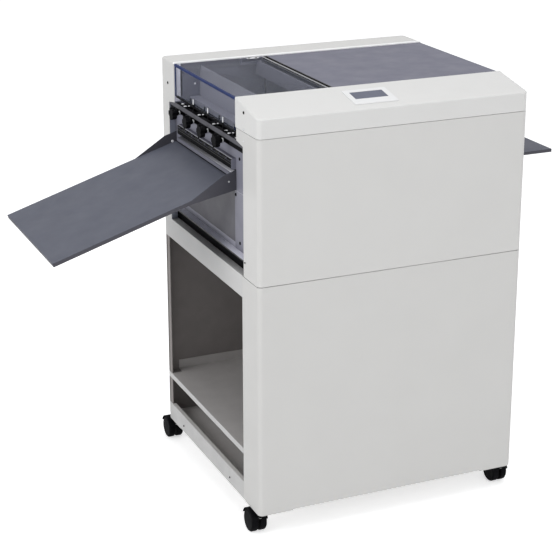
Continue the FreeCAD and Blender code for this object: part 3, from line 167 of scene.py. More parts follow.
class CreaserPaint(bpy.types.PropertyGroup):
    cabinet: colour("Cabinet", (0.617, 0.610, 0.597), "Warm light grey powder coat")
    control: colour("Control face", (0.66, 0.655, 0.645), "Smooth paint of the control cover")
    # The rail and kick-rail tones are the cabinet paint darkened as painted shade, for how
    # light falls on these rails.
    rail: colour("Rail", (0.60, 0.595, 0.59), "Powder coat of the rail over the open side")
    kick_shade: colour("Kick rail", (0.55, 0.545, 0.54), "Powder coat of the rail below it")
    # Painted shade and light inside the stand: the inside and shelf tones are the cabinet paint
    # darkened for the shade within the walls, and the floor-pan tone is lightened to look lit.
    inside: colour("Inside", (0.245, 0.225, 0.218), "Thin primer coat inside the walls")
    shelf: colour("Shelf", (0.52, 0.50, 0.49), "Thin primer coat of the shelf")
    pan: colour("Floor pan", (0.66, 0.64, 0.625), "Thin primer coat inside the floor pan")
    cover: colour("Lid", (0.150, 0.151, 0.195), "Blue grey powder coat of the lid")
    end: colour("Exit end", (0.215, 0.215, 0.262), "Blue grey coat of the upper exit end")
    hem: colour("Hem", (0.232, 0.243, 0.295), "Blue grey coat on the covers' inner hems")
    # The fold under the covers' hinged edge is given a dark blue grey.
    fold: colour("Back fold", (0.12, 0.12, 0.15), "Blue grey coat of the fold under the covers")
    # Painted light and shade of the exit end's blue grey: the ledge and the band above it
    # lightened as if lit, the lower exit end darkened for the tray's shade.
    apron: colour("Apron", (0.76, 0.76, 0.85), "Coat on the ledge under the lower exit end")
    apron_low: colour("Apron root", (0.36, 0.36, 0.42), "Coat just above that ledge")
    end_low: colour("Lower exit end", (0.095, 0.093, 0.112), "Powder coat below the exit tray")
    # Painted light and shade on the trays: upward faces lighter, edges and other faces darker,
    # one coat in two tones.
    tray: colour("Tray", (0.100, 0.106, 0.134), "Textured dark blue grey of the trays")
    tray_side_shade: colour("Tray side", (0.075, 0.074, 0.088), "Darker coat on the trays' edges")
    grain: length("Grain", 0.9 * MM, "Size of the paint's orange peel")


class CreaserParts(bpy.types.PropertyGroup):
    fold_round: length("Fold round", 0.45 * MM, "Rounding of sheet-metal edges")
    screw_r: length("Screw head", 3.4 * MM, "Radius of the cover screws' heads")
    screw_h: length("Screw height", 1.5 * MM, "Height of the cover screws' heads")
    small_screw_r: length("Small screw head", 2.3 * MM, "Radius of the carriages' screws")
    button_r: length("Button", 3.8 * MM, "Radius of the black buttons on the exit end")
    knob_round: length("Knob round", 1.6 * MM, "Rounding of the knobs' rims")
    tread_r: length("Tread round", 3.0 * MM, "Rounding of the castor treads")


def stage_settings():
    return bpy.context.scene.creaser_stage


def paint_settings():
    return bpy.context.scene.creaser_paint


def part_settings():
    return bpy.context.scene.creaser_parts


# ---- materials -----------------------------------------------------------------------------
def add_node(tree, kind, **values):
    """A shader node; values are its own properties, or inputs as in_Name with _ for a space."""
    made = tree.nodes.new(kind)
    for key, value in values.items():
        if key.startswith("in_"):
            made.inputs[key[3:].replace("_", " ")].default_value = value
        else:
            setattr(made, key, value)
    return made


def link(tree, source, target, out=0, into=0):
    tree.links.new(source.outputs[out], target.inputs[into])


def noise(tree, place, size, detail=3.0):
    made = add_node(tree, "ShaderNodeTexNoise", in_Scale=1.0 / size, in_Detail=detail,
                    in_Roughness=0.55)
    link(tree, place, made, "Object", "Vector")
    return made


def ramp(tree, source, stops, out=0):
    made = add_node(tree, "ShaderNodeValToRGB")
    points = made.color_ramp.elements
    while len(points) < len(stops):
        points.new(0.5)
    for point, (at, tone) in zip(points, stops):
        point.position = at
        point.color = (*tone, 1.0)
    link(tree, source, made, out, 0)
    return made


def shade(tone, factor):
    return tuple(min(1.0, c * factor) for c in tone)


def new_material(name):
    made = bpy.data.materials.new(name)
    made.use_nodes = True
    tree = made.node_tree
    shader = tree.nodes["Principled BSDF"]
    place = add_node(tree, "ShaderNodeTexCoord")
    return made, tree, shader, place


def raised(tree, shader, grain, depth):
    """Bump of a texture's Fac output on the shader."""
    bump = add_node(tree, "ShaderNodeBump", in_Strength=1.0, in_Distance=depth)
    link(tree, grain, bump, "Fac", "Height")
    link(tree, bump, shader, "Normal", "Normal")


def bumped(tree, place, shader, size, depth):
    """Fine grain of the given size and depth."""
    raised(tree, shader, noise(tree, place, size, 2.0), depth)


def uneven_gloss(tree, place, shader, size, dull, bright):
    """Roughness that wanders between two values."""
    tones = ramp(tree, noise(tree, place, size), [(0.3, (bright,) * 3), (0.7, (dull,) * 3)])
    link(tree, tones, shader, 0, "Roughness")


def split(tree, place, what="Object"):
    parts = add_node(tree, "ShaderNodeSeparateXYZ")
    link(tree, place, parts, what, 0)
    return parts


def maths(tree, rule, source, out, second):
    """A math node on one output; the second operand is a number or a node."""
    made = add_node(tree, "ShaderNodeMath", operation=rule)
    link(tree, source, made, out, 0)
    if isinstance(second, float):
        made.inputs[1].default_value = second
    else:
        link(tree, second, made, 0, 1)
    return made


def where(tree, place, limits):
    """1 where all limits hold. A limit is an axis, a rule and a value; NX is the normal's X."""
    at, way = split(tree, place), split(tree, place, "Normal")
    mask = None
    for axis, rule, value in limits:
        test = maths(tree, rule, way if len(axis) == 2 else at, axis[-1], value)
        mask = test if mask is None else maths(tree, "MULTIPLY", mask, 0, test)
    return mask


def mixed(tree, mask, first, second, out=0):
    """The first tone, and the second one where the mask is 1."""
    mix = add_node(tree, "ShaderNodeMix", data_type="RGBA")
    link(tree, mask, mix, 0, 0)
    link(tree, first, mix, out, 6)
    link(tree, second, mix, 0, 7)
    return mix


def drift(tree, place, tone, size=0.11, spread=0.008):
    """A tone that wanders a little over the surface."""
    return ramp(tree, noise(tree, place, size), [(0.3, shade(tone, 1 - spread)),
                                                 (0.7, shade(tone, 1 + spread))])


def coat(name, tone, patches=(), gloss=0.46, depth=0.02 * MM, shine=0.25, spread=0.008):
    """Paint or oxide; patches are (limits, tone) of other coats or of painted light and shade,
    the last one on top.

    A patch without limits covers what lies within the stand's walls, where it paints the shade
    and light inside the stand.
    """
    made, tree, shader, place = new_material(name)
    shader.inputs["Specular IOR Level"].default_value = shine
    tones, out = drift(tree, place, tone, 0.11, spread), 0
    for limits, other in patches:
        mask = where(tree, place, limits) if limits else within_walls(tree, place)
        tones, out = mixed(tree, mask, tones, drift(tree, place, other, 0.04, 0.04), out), 2
    link(tree, tones, shader, out, "Base Color")
    bumped(tree, place, shader, paint_settings().grain, depth)
    uneven_gloss(tree, place, shader, 0.05, gloss + 0.06, gloss - 0.06)
    return made


def within_walls(tree, place):
    """1 behind the middle of the stand's sheet, whose upright corners are rounded."""
    corner = 12.0 * MM
    middle = ((LEFT + RIGHT) / 2, (FRONT + BACK) / 2, 0.0)
    straight = ((RIGHT - LEFT) / 2 - corner, (BACK - FRONT) / 2 - corner, 10.0)
    source, out = place, "Object"
    for rule, second in (("SUBTRACT", middle), ("ABSOLUTE", None), ("SUBTRACT", straight),
                         ("MAXIMUM", (0.0, 0.0, 0.0)), ("LENGTH", None)):
        made = add_node(tree, "ShaderNodeVectorMath", operation=rule)
        if second:
            made.inputs[1].default_value = second
        link(tree, source, made, out, 0)
        source, out = made, "Vector"
    inside = maths(tree, "LESS_THAN", source, "Value", corner - 0.75 * MM)
    low_enough = where(tree, place, [("Z", "LESS_THAN", Z_MACHINE - 2.2 * MM)])
    return maths(tree, "MULTIPLY", inside, 0, low_enough)


def metal(name, tone, gloss, stretch=(1.0, 1.0, 1.0)):
    """Bare or plated steel with fine drawn lines."""
    made, tree, shader, place = new_material(name)
    shader.inputs["Metallic"].default_value = 1.0
    link(tree, drift(tree, place, tone, 0.04, 0.06), shader, 0, "Base Color")
    scaled = add_node(tree, "ShaderNodeMapping", in_Scale=stretch)
    link(tree, place, scaled, "Object", "Vector")
    lines = add_node(tree, "ShaderNodeTexNoise", in_Scale=1.0 / (0.8 * MM), in_Detail=2.0)
    link(tree, scaled, lines, 0, "Vector")
    raised(tree, shader, lines, 0.01 * MM)
    uneven_gloss(tree, place, shader, 0.02, gloss + 0.08, gloss - 0.05)
    return made


def moulded(name, tone, gloss, grain=0.5 * MM, depth=0.03 * MM, spread=0.12, shine=0.2):
    """Moulded plastic or rubber with a fine texture."""
    made, tree, shader, place = new_material(name)
    shader.inputs["Specular IOR Level"].default_value = shine
    link(tree, drift(tree, place, tone, 0.015, spread), shader, 0, "Base Color")
    bumped(tree, place, shader, grain, depth)
    uneven_gloss(tree, place, shader, 0.01, gloss + 0.06, gloss - 0.06)
    return made


def graded_steel(name, tone, far, near, stops, fold):
    """Bright steel with a painted reflection whose brightness runs along Y between two places,
    and painted shade on its front fold.
    """
    made, tree, shader, place = new_material(name)
    shader.inputs["Specular IOR Level"].default_value = 0.2
    run = add_node(tree, "ShaderNodeMapRange", in_From_Min=near, in_From_Max=far)
    link(tree, split(tree, place), run, "Y", "Value")
    tones = ramp(tree, run, [(at, shade(tone, level)) for at, level in stops])
    front = where(tree, place, [("NX", "LESS_THAN", -0.7)])
    link(tree, mixed(tree, front, tones, drift(tree, place, fold)), shader, 2, "Base Color")
    bumped(tree, place, shader, 1.0 * MM, 0.01 * MM)
    uneven_gloss(tree, place, shader, 0.02, 0.4, 0.3)
    return made


def acrylic(name, tone, seam_highlight_tone, seam_x):
    """Clear polished sheet with blue upright edges, and at the seam a pale painted highlight,
    then a dark painted shadow.
    """
    made, tree, shader, place = new_material(name)
    shader.inputs["Specular IOR Level"].default_value = 0.3
    left = [("X", "LESS_THAN", LEFT + 7 * MM)]
    front = where(tree, place, [("NY", "LESS_THAN", -0.5)] + left)
    back = where(tree, place, [("NY", "GREATER_THAN", 0.5)] + left)
    blue = maths(tree, "MAXIMUM", front, 0, back)
    # Painted highlight, then painted shadow, along the seam with the lid; both near opaque.
    pale = where(tree, place, [("X", "GREATER_THAN", seam_x - 5.5 * MM)])
    dark = where(tree, place, [("X", "GREATER_THAN", seam_x - 3 * MM)])
    sheet = mixed(tree, blue, drift(tree, place, tone), drift(tree, place, BLUE_EDGE))
    sheet = mixed(tree, pale, sheet, drift(tree, place, seam_highlight_tone), 2)
    sheet = mixed(tree, dark, sheet, drift(tree, place, (0.008, 0.008, 0.009)), 2)
    link(tree, sheet, shader, 2, "Base Color")
    sheen = add_node(tree, "ShaderNodeLayerWeight", in_Blend=0.35)
    clear = ramp(tree, sheen, [(0.0, (0.04,) * 3), (0.75, (0.11,) * 3)], "Facing")
    solid = add_node(tree, "ShaderNodeMix", data_type="FLOAT")
    solid.inputs[3].default_value = 0.95
    link(tree, maths(tree, "MAXIMUM", blue, 0, pale), solid, 0, 0)
    link(tree, clear, solid, 0, 2)
    link(tree, solid, shader, 0, "Alpha")
    uneven_gloss(tree, place, shader, 0.06, 0.07, 0.03)
    return made


def screen_glass(name, tone):
    """Dark display behind gloss glass."""
    made, tree, shader, place = new_material(name)
    shader.inputs["Specular IOR Level"].default_value = 0.2
    link(tree, drift(tree, place, tone, 0.06, 0.1), shader, 0, "Base Color")
    uneven_gloss(tree, place, shader, 0.03, 0.14, 0.08)
    return made


def circuit(name, tone):
    """Solder mask with copper tracks and pale pads."""
    made, tree, shader, place = new_material(name)
    tracks = add_node(tree, "ShaderNodeTexVoronoi", feature="DISTANCE_TO_EDGE", in_Scale=220.0)
    link(tree, place, tracks, "Object", "Vector")
    tones = ramp(tree, tracks, [(0.0, shade(tone, 2.0)), (0.06, shade(tone, 1.6)), (0.1, tone)],
                 "Distance")
    link(tree, tones, shader, 0, "Base Color")
    uneven_gloss(tree, place, shader, 0.02, 0.4, 0.3)
    return made


FINISHES = {}


def z_above(z):
    return "Z", "GREATER_THAN", spot(0, 0, z).z


def z_below(z):
    return "Z", "LESS_THAN", spot(0, 0, z).z


def x_above(x):
    return "X", "GREATER_THAN", spot(x, 0, 0).x


def x_below(x):
    return "X", "LESS_THAN", spot(x, 0, 0).x


def y_above(y):
    return "Y", "GREATER_THAN", spot(0, y, 0).y


def y_below(y):
    return "Y", "LESS_THAN", spot(0, y, 0).y


UPWARD = ("NZ", "GREATER_THAN", 0.5)
EXITWARD = ("NX", "LESS_THAN", -0.5)
FORWARD = ("NY", "LESS_THAN", -0.5)


def make_finishes():
    paint = paint_settings()
    edge = [x_above(0.6), x_below(PANEL_X)]
    hem = (edge + [y_above(HEM_Y[0]), y_below(HEM_Y[1]), z_below(HEM_TOP_Z)], paint.hem)
    fold = ([x_above(PANEL_X), y_above(FOLD_Y[0]), y_below(FOLD_Y[1]), z_below(FOLD_TOP_Z)],
            paint.fold)
    # Painted highlight: near white along the back cover's top front edge.
    rim = ([y_above(RIM_HIGHLIGHT_Y[0]), y_below(RIM_HIGHLIGHT_Y[1]), z_above(FOLD_TOP_Z)], (0.93, 0.93, 0.93))
    strip = (edge + [y_above(400), y_below(FOLD_Y[1]), z_above(HEM_TOP_Z),
                     z_below(FOLD_TOP_Z)], (0.72, 0.72, 0.82))
    # Painted light and shade on the lower exit end: the band above the ledge and the ledge
    # lightened, the part towards the front in its undarkened blue grey, near black for the
    # shade on the apron's front.
    apron = [([z_below(LEDGE_Z), EXITWARD], paint.apron_low),
             ([y_below(GUIDE_FRONT_Y), EXITWARD], paint.end),
             ([UPWARD], paint.apron), ([x_below(1.5), EXITWARD], (0.02, 0.02, 0.022))]
    # Painted highlights on the black guide: a light line along its top edge, a fainter one
    # lower down and lighter upward faces; also a dark grey band on its outer face and its front
    # end in the exit end's blue grey.
    guide_top = top_of("exit_guide")
    guide = [([x_below(5.4), z_above(guide_top - 9), z_below(guide_top - 3)], (0.04,) * 3),
             ([z_above(guide_top - 13.4), z_below(guide_top - 12.2)], (0.09,) * 3),
             ([z_above(guide_top - 1.4)], (0.30, 0.30, 0.33)),
             ([("NZ", "GREATER_THAN", 0.9)], paint.fold), ([FORWARD], paint.end)]
    # Painted shade: a black band along the lid's left edge for the shadow in its seam with the
    # clear cover.
    lid_left = (low("top_lid").x - LEFT) / MM
    lid_seam_shade = [([x_above(lid_left - 1), x_below(lid_left + 3)], BLACK)]
    rail_face = [z_above(top_of("exit_rail") - 10.5), EXITWARD]
    FINISHES.update(
        ivory_paint=coat("cabinet_coat", paint.cabinet, shine=0.3),
        cover_paint=coat("front_cover_coat", paint.cabinet, [hem], shine=0.3),
        back_paint=coat("back_cover_coat", paint.cabinet, [hem, strip, fold, rim], shine=0.3),
        # Within the stand's walls these coats carry the painted shade and light of the
        # interior.
        stand_paint=coat("stand_coat", paint.cabinet, [(None, paint.inside)], shine=0.12),
        rail_paint=coat("stand_rail_coat", paint.rail, [(None, paint.inside)], shine=0.12),
        # The kick tone on the shelf's and floor pan's outer and exit-facing faces is painted
        # shade.
        shelf_paint=coat("stand_shelf_coat", paint.kick_shade, [(None, paint.shelf), (
            [EXITWARD, x_below(60)], paint.kick_shade)], shine=0.12),
        pan_paint=coat("floor_pan_coat", paint.kick_shade, [(None, paint.pan), (
            [EXITWARD, x_below(60)], paint.kick_shade)], shine=0.12),
        control_paint=coat("control_coat", paint.control, gloss=0.38, shine=0.3),
        grey_paint=coat("cover_coat", paint.cover, lid_seam_shade, 0.5, depth=0.01 * MM, shine=0.14,
                        spread=0.015),
        end_paint=coat("exit_end_coat", paint.end, gloss=0.5, shine=0.15, spread=0.03),
        end_low_paint=coat("lower_exit_end_coat", paint.end_low, apron, 0.5, spread=0.06),
        # Painted shade on the tray: darker edges, and a black band on its upward faces at its
        # inner end under the lip.
        tray_paint=coat("tray_coat", paint.tray_side_shade, [([UPWARD], paint.tray), (
            [UPWARD, x_above(13.5), x_below(60)], BLACK)], 0.5, shine=0.12, spread=0.04),
        zinc_steel=metal("zinc_plate", (0.55, 0.56, 0.57), 0.38),
        bright_steel=metal("ground_steel", (0.68, 0.69, 0.73), 0.28, stretch=(1.0, 0.1, 1.0)),
        # Painted reflection along the lip, brightest at its front end, and painted shade on its
        # exit-facing fold.
        lip_steel=graded_steel("lip_steel", (1.0, 1.0, 1.09), high("exit_lip").y,
                               low("exit_lip").y, [(0.0, 0.8), (0.2, 0.55), (0.5, 0.28),
                                                   (1.0, 0.1)], (0.09, 0.09, 0.11)),
        dark_steel=moulded("black_oxide", BLACK, 0.5, 0.6 * MM, 0.02 * MM, shine=0.008),
        guide_steel=coat("guide_oxide", (0.009, 0.009, 0.010), guide, 0.5, shine=0.008),
        # The rail is black, with grey on the upper part of its exit-facing face.
        rail_steel=coat("worn_rail", BLACK, [(rail_face, (0.125, 0.124, 0.138))], 0.45,
                        shine=0.02),
        black_plastic=moulded("black_moulding", (0.006, 0.006, 0.007), 0.55, shine=0.02),
        bezel_plastic=moulded("bezel_moulding", (0.74, 0.74, 0.745), 0.4, spread=0.01),
        roller_rubber=moulded("ground_rubber", (0.035, 0.035, 0.036), 0.62, 0.4 * MM,
                              0.04 * MM),
        screen_glass=screen_glass("display_glass", (0.09, 0.10, 0.145)),
        clear_acrylic=acrylic("clear_sheet", (0.14, 0.17, 0.25), (0.2, 0.2, 0.24),
                              high("clear_cover").x),
        blue_edge=moulded("blue_edge", BLUE_EDGE, 0.4, depth=0.005 * MM, spread=0.15,
                          shine=0.02),
        board_green=circuit("circuit_board", (0.02, 0.12, 0.05)),
        # Painted glint: zinc fixings drawn near white.
        white_metal=moulded("bright_fixings", (0.86, 0.86, 0.88), 0.35, spread=0.03, shine=0.5),
    )


# ---- mesh helpers --------------------------------------------------------------------------
def smooth_by_angle(bm):
    for face in bm.faces:
        face.smooth = True
    for edge in bm.edges:
        edge.smooth = len(edge.link_faces) == 2 and edge.calc_face_angle(4.0) < CREASE


def add_piece(name, bm, body, slot, finish=None):
    smooth_by_angle(bm)
    mesh = bpy.data.meshes.new(name)
    bm.to_mesh(mesh)
    bm.free()
    mesh.materials.append(FINISHES[finish or slot])
    made = bpy.data.objects.new(name, mesh)
    bpy.context.scene.collection.objects.link(made)
    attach(made, body)
    return made


def round_edges(made, width, steps=2):
    bevel = made.modifiers.new("rounding", "BEVEL")
    bevel.width = width
    bevel.segments = steps
    bevel.limit_method = "ANGLE"
    bevel.angle_limit = CREASE
    bevel.harden_normals = True
    bevel.use_clamp_overlap = True


def dress(node, width=None, finish=None, steps=2, above=None):
    """A clean copy of a node with rounded edges, cut off level where above is given."""
    bm = bmesh.new()
    bm.from_mesh(frame["nodes"][node].data)
    bmesh.ops.remove_doubles(bm, verts=bm.verts, dist=WELD)
    if above is not None:
        kept = bmesh.ops.bisect_plane(bm, geom=[*bm.verts, *bm.edges, *bm.faces],
                                      plane_co=(0.0, 0.0, above), plane_no=(0.0, 0.0, 1.0),
                                      clear_inner=True)
        rims = [part for part in kept["geom_cut"] if isinstance(part, bmesh.types.BMEdge)]
        bmesh.ops.holes_fill(bm, edges=rims)
    bmesh.ops.dissolve_limit(bm, angle_limit=FLAT, verts=bm.verts, edges=bm.edges)
    bmesh.ops.recalc_face_normals(bm, faces=bm.faces)
    made = add_piece(node + "_dressed", bm, BODY_OF[node], SLOT_OF[node], finish)
    round_edges(made, part_settings().fold_round if width is None else width, steps)
    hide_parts(node)


def finish_node(node, finish=None):
    """Gives a node its material and leaves its shape."""
    data = frame["nodes"][node].data
    data.materials.clear()
    data.materials.append(FINISHES[finish or SLOT_OF[node]])


def turned(bm, profile, at, axis, sides):
    """Adds a turned form: profile is (radius, height) pairs from the foot to the tip."""
    turn = Vector((0, 0, 1)).rotation_difference(Vector(axis)).to_matrix().to_4x4()
    place = Matrix.Translation(at) @ turn
    rings = []
    for radius, rise in profile:
        if radius < 1e-7:
            rings.append([bm.verts.new(place @ Vector((0, 0, rise)))])
            continue
        rings.append([bm.verts.new(place @ Vector((radius * math.cos(2 * math.pi * i / sides),
                                                   radius * math.sin(2 * math.pi * i / sides),
                                                   rise))) for i in range(sides)])
    for lower, upper in zip(rings, rings[1:]):
        for i in range(sides):
            j = (i + 1) % sides
            corners = [lower[i % len(lower)], lower[j % len(lower)],
                       upper[j % len(upper)], upper[i % len(upper)]]
            corners = list(dict.fromkeys(corners))
            if len(corners) > 2:
                bm.faces.new(corners)


def add_screw(bm, at, axis, radius, rise):
    """Pan head with a round socket; its foot is sunk into what carries it."""
    socket = radius * 0.45
    turned(bm, [(radius, -0.2 * rise), (radius, 0.35 * rise), (radius * 0.9, 0.75 * rise),
                (radius * 0.66, rise), (socket, rise), (socket * 0.95, 0.35 * rise),
                (0.0, 0.3 * rise)], at, axis, SCREW_SIDES)


def add_screws(name, spots, radius, slot, body="root", finish=None):
    """Screws at spots in millimetres, each with the way its head looks."""
    bm = bmesh.new()
    for place, way in spots:
        add_screw(bm, spot(*place), way, radius, part_settings().screw_h)
    add_piece(name, bm, body, slot, finish)


def add_plates(name, boxes, slot, body, finish=None):
    """Small plates given by their limits in millimetres: x, x, y, y, z, z."""
    bm = bmesh.new()
    for x0, x1, y0, y1, z0, z1 in boxes:
        first, last = spot(x0, y0, z0), spot(x1, y1, z1)
        add_block(bm, first.x, last.x, first.y, last.y, first.z, last.z)
    round_edges(add_piece(name, bm, body, slot, finish), PLATE_ROUND)


def add_block(bm, x0, x1, y0, y1, z0, z1):
    corners = [bm.verts.new((x, y, z)) for z in (z0, z1) for y in (y0, y1) for x in (x0, x1)]
    for face in ((0, 2, 3, 1), (4, 5, 7, 6), (0, 1, 5, 4), (2, 6, 7, 3), (0, 4, 6, 2),
                 (1, 3, 7, 5)):
        bm.faces.new([corners[i] for i in face])


# ---- operators -----------------------------------------------------------------------------
class CREASER_OT_stage(bpy.types.Operator):
    """Camera, pale floor, even light and three soft lamps"""
    bl_idname = "creaser.stage"
    bl_label = "Stage"
    bl_options = {"REGISTER", "UNDO"}

    def execute(self, context):
        stage = stage_settings()
        scene = bpy.context.scene
        scene.view_settings.view_transform = "Standard"
        lens = bpy.data.cameras.new("camera")
        lens.sensor_width = SENSOR
        lens.lens = stage.lens
        lens.shift_y = stage.shift
        lens.clip_end = 50.0
        camera = bpy.data.objects.new("camera", lens)
        camera.location = stage.place
        camera.rotation_euler = (math.radians(90) - stage.pitch, 0.0, -stage.yaw)
        scene.collection.objects.link(camera)
        scene.camera = camera
        self.make_world(stage)
        self.make_floor(stage)
        middle = Vector(((LEFT + RIGHT) / 2, (FRONT + BACK) / 2, LIT_HEIGHT))
        for name, way, size in LAMPS:
            self.make_lamp(name + "_lamp", middle + Vector(way), middle, size,
                           getattr(stage, name))
        return {"FINISHED"}

    def make_world(self, stage):
        world = bpy.data.worlds.new("studio")
        bpy.context.scene.world = world
        world.use_nodes = True
        tree = world.node_tree
        tree.nodes.clear()
        seen = add_node(tree, "ShaderNodeBackground", in_Color=(1, 1, 1, 1), in_Strength=1.0)
        even = add_node(tree, "ShaderNodeBackground", in_Color=DAYLIGHT,
                        in_Strength=stage.ambient)
        mix = add_node(tree, "ShaderNodeMixShader")
        link(tree, seen_rays(tree), mix, 0, 0)
        link(tree, even, mix, 0, 1)
        link(tree, seen, mix, 0, 2)
        link(tree, mix, add_node(tree, "ShaderNodeOutputWorld"), 0, 0)

    def make_floor(self, stage):
        bm = bmesh.new()
        bmesh.ops.create_grid(bm, x_segments=1, y_segments=1, size=FLOOR_HALF)
        mesh = bpy.data.meshes.new("floor")
        bm.to_mesh(mesh)
        bm.free()
        floor = bpy.data.objects.new("floor", mesh)
        bpy.context.scene.collection.objects.link(floor)
        made, tree, shader, place = new_material("floor_paper")
        link(tree, drift(tree, place, FLOOR_TONE, 0.5, 0.01), shader, 0, "Base Color")
        shader.inputs["Roughness"].default_value = 0.9
        shader.inputs["Specular IOR Level"].default_value = 0.0
        glow = add_node(tree, "ShaderNodeEmission", in_Strength=1.0)
        level = add_node(tree, "ShaderNodeMath", operation="MULTIPLY")
        level.inputs[1].default_value = stage.floor_lift
        link(tree, seen_rays(tree), level, 0, 0)
        link(tree, level, glow, 0, "Strength")
        both = add_node(tree, "ShaderNodeAddShader")
        link(tree, shader, both, 0, 0)
        link(tree, glow, both, 0, 1)
        link(tree, both, tree.nodes["Material Output"], 0, 0)
        mesh.materials.append(made)

    def make_lamp(self, name, at, target, size, power):
        data = bpy.data.lights.new(name, "AREA")
        data.shape = "DISK"
        data.size = size
        data.energy = power
        lamp = bpy.data.objects.new(name, data)
        lamp.location = at
        lamp.rotation_euler = (target - at).to_track_quat("-Z", "Y").to_euler()
        bpy.context.scene.collection.objects.link(lamp)


def seen_rays(tree):
    """1 for rays that show the background: camera, glossy and transmission rays."""
    path = add_node(tree, "ShaderNodeLightPath")
    first = add_node(tree, "ShaderNodeMath", operation="MAXIMUM")
    link(tree, path, first, "Is Camera Ray", 0)
    link(tree, path, first, "Is Glossy Ray", 1)
    both = add_node(tree, "ShaderNodeMath", operation="MAXIMUM")
    link(tree, first, both, 0, 0)
    link(tree, path, both, "Is Transmission Ray", 1)
    return both


class CREASER_OT_stand(bpy.types.Operator):
    """Open sheet-metal stand with its shelf, rails and screws"""
    bl_idname = "creaser.stand"
    bl_label = "Stand"
    bl_options = {"REGISTER", "UNDO"}

    def execute(self, context):
        for node in ("stand_front_panel", "stand_back_panel", "stand_right_panel"):
            dress(node, finish="stand_paint")
        dress("stand_top_deck", finish="rail_paint")
        dress("stand_base_pan", finish="pan_paint")
        dress("stand_shelf", finish="shelf_paint")
        finish_node("corner_posts", "rail_paint")
        dress("castor_plates", finish="ivory_paint")
        screws = [((0, y, z), EXIT_WAY) for y, z in ((488, 16.5), (177.5, 16), (74, 583))]
        add_screws("stand_screws", screws, part_settings().small_screw_r, "dark_steel")
        return {"FINISHED"}


class CREASER_OT_covers(bpy.types.Operator):
    """Front, control and back covers"""
    bl_idname = "creaser.covers"
    bl_label = "Outer covers"
    bl_options = {"REGISTER", "UNDO"}

    def execute(self, context):
        dress("front_cover", finish="cover_paint")
        dress("back_cover", finish="back_paint")
        dress("control_cover")
        add_screws("cover_screws", [((0, 76, 920), EXIT_WAY), ((0, 552, 888), EXIT_WAY)],
                   part_settings().screw_r, "dark_steel")
        add_screws("seam_screws", [((0, 76.6, 883), EXIT_WAY), ((0, 77, 857), EXIT_WAY)],
                   part_settings().small_screw_r, "zinc_steel")
        add_screws("frame_screw", [((53.3, 509.8, 890.1), FRONT_WAY)],
                   part_settings().small_screw_r, "zinc_steel", finish="white_metal")
        return {"FINISHED"}


class CREASER_OT_exit_end(bpy.types.Operator):
    """Grey end panels, slotted guide, lip and tray"""
    bl_idname = "creaser.exit_end"
    bl_label = "Exit end"
    bl_options = {"REGISTER", "UNDO"}

    def execute(self, context):
        dress("exit_lower_panel", finish="end_low_paint")
        dress("exit_upper_plate", finish="end_paint")
        dress("exit_guide", finish="guide_steel")
        dress("exit_lip", finish="lip_steel")
        dress("exit_tray")
        buttons = [((PANEL_X, y, z), EXIT_WAY)
                   for y, z in ((166.4, 712.1), (142.3, 799.5), (143.4, 604.8))]
        add_screws("exit_end_buttons", buttons, part_settings().button_r, "black_plastic")
        add_screws("tray_back_screw", [((5.8, 543.9, 745.2), FRONT_WAY)],
                   part_settings().screw_r, "zinc_steel", finish="white_metal")
        add_screws("tray_front_screw", [((-1.1, 162, 745), FRONT_WAY)],
                   part_settings().small_screw_r, "zinc_steel")
        return {"FINISHED"}


class CREASER_OT_guide_rail(bpy.types.Operator):
    """Rail, slotted bar, carriages and their knobs"""
    bl_idname = "creaser.guide_rail"
    bl_label = "Guide rail"
    bl_options = {"REGISTER", "UNDO"}

    def execute(self, context):
        dress("exit_rail")
        dress("clamp_bars", finish="dark_steel")
        for i, y in enumerate(CARRIAGE_YS, 1):
            dress("carriage_%d" % i)
            self.fit_carriage(i, y)
        add_screws("rail_screw", [((7.5, 140.4, RAIL_TOP_Z), UP_WAY)],
                   part_settings().small_screw_r, "zinc_steel", finish="white_metal")
        for i in range(1, 5):
            dress("knob_%d" % i, part_settings().knob_round, steps=4)
        return {"FINISHED"}

    def fit_carriage(self, i, y):
        """Screws on the saddle, and the pointer that stands before the clear cover; screws and
        pointer are near white, a painted glint on zinc.
        """
        body = "carriage_%d" % i
        parts = part_settings()
        large = [((6.5, y - 20.5, SADDLE_TOP_Z), UP_WAY)]
        if i in (1, 4):
            large.append(((9.5, y + 4.6, SADDLE_TOP_Z), UP_WAY))
        add_screws(body + "_screws", large, parts.screw_r * 1.1, "zinc_steel", body,
                   "white_metal")
        add_screws(body + "_small_screw", [((15.5, y - 21.5, SADDLE_TOP_Z), UP_WAY)],
                   parts.small_screw_r, "zinc_steel", body, "white_metal")
        if i < 4:
            across = (y - 2.2, y + 2.2)
            add_plates(body + "_foot", [(-0.6, 8.0, *across, 850.6, 851.8),
                                        (-0.6, 0.3, *across, 851.6, 871.5)],
                       "dark_steel", body)
            add_plates(body + "_pointer", [(-0.6, 0.3, *across, 871.5, 883.5)],
                       "zinc_steel", body, "white_metal")
        self.add_nut("knob_%d" % i, y)

    def add_nut(self, knob, y):
        """Thin hexagon nut on the knob's stem, close before the clamp bars."""
        bm = bmesh.new()
        foot = Vector((low("clamp_bars").x - NUT_SETBACK, spot(0, y, 0).y,
                       (low(knob).z + high(knob).z) / 2))
        turned(bm, NUT_PROFILE, foot, (1, 0, 0), NUT_SIDES)
        add_piece(knob + "_nut", bm, knob, "zinc_steel")


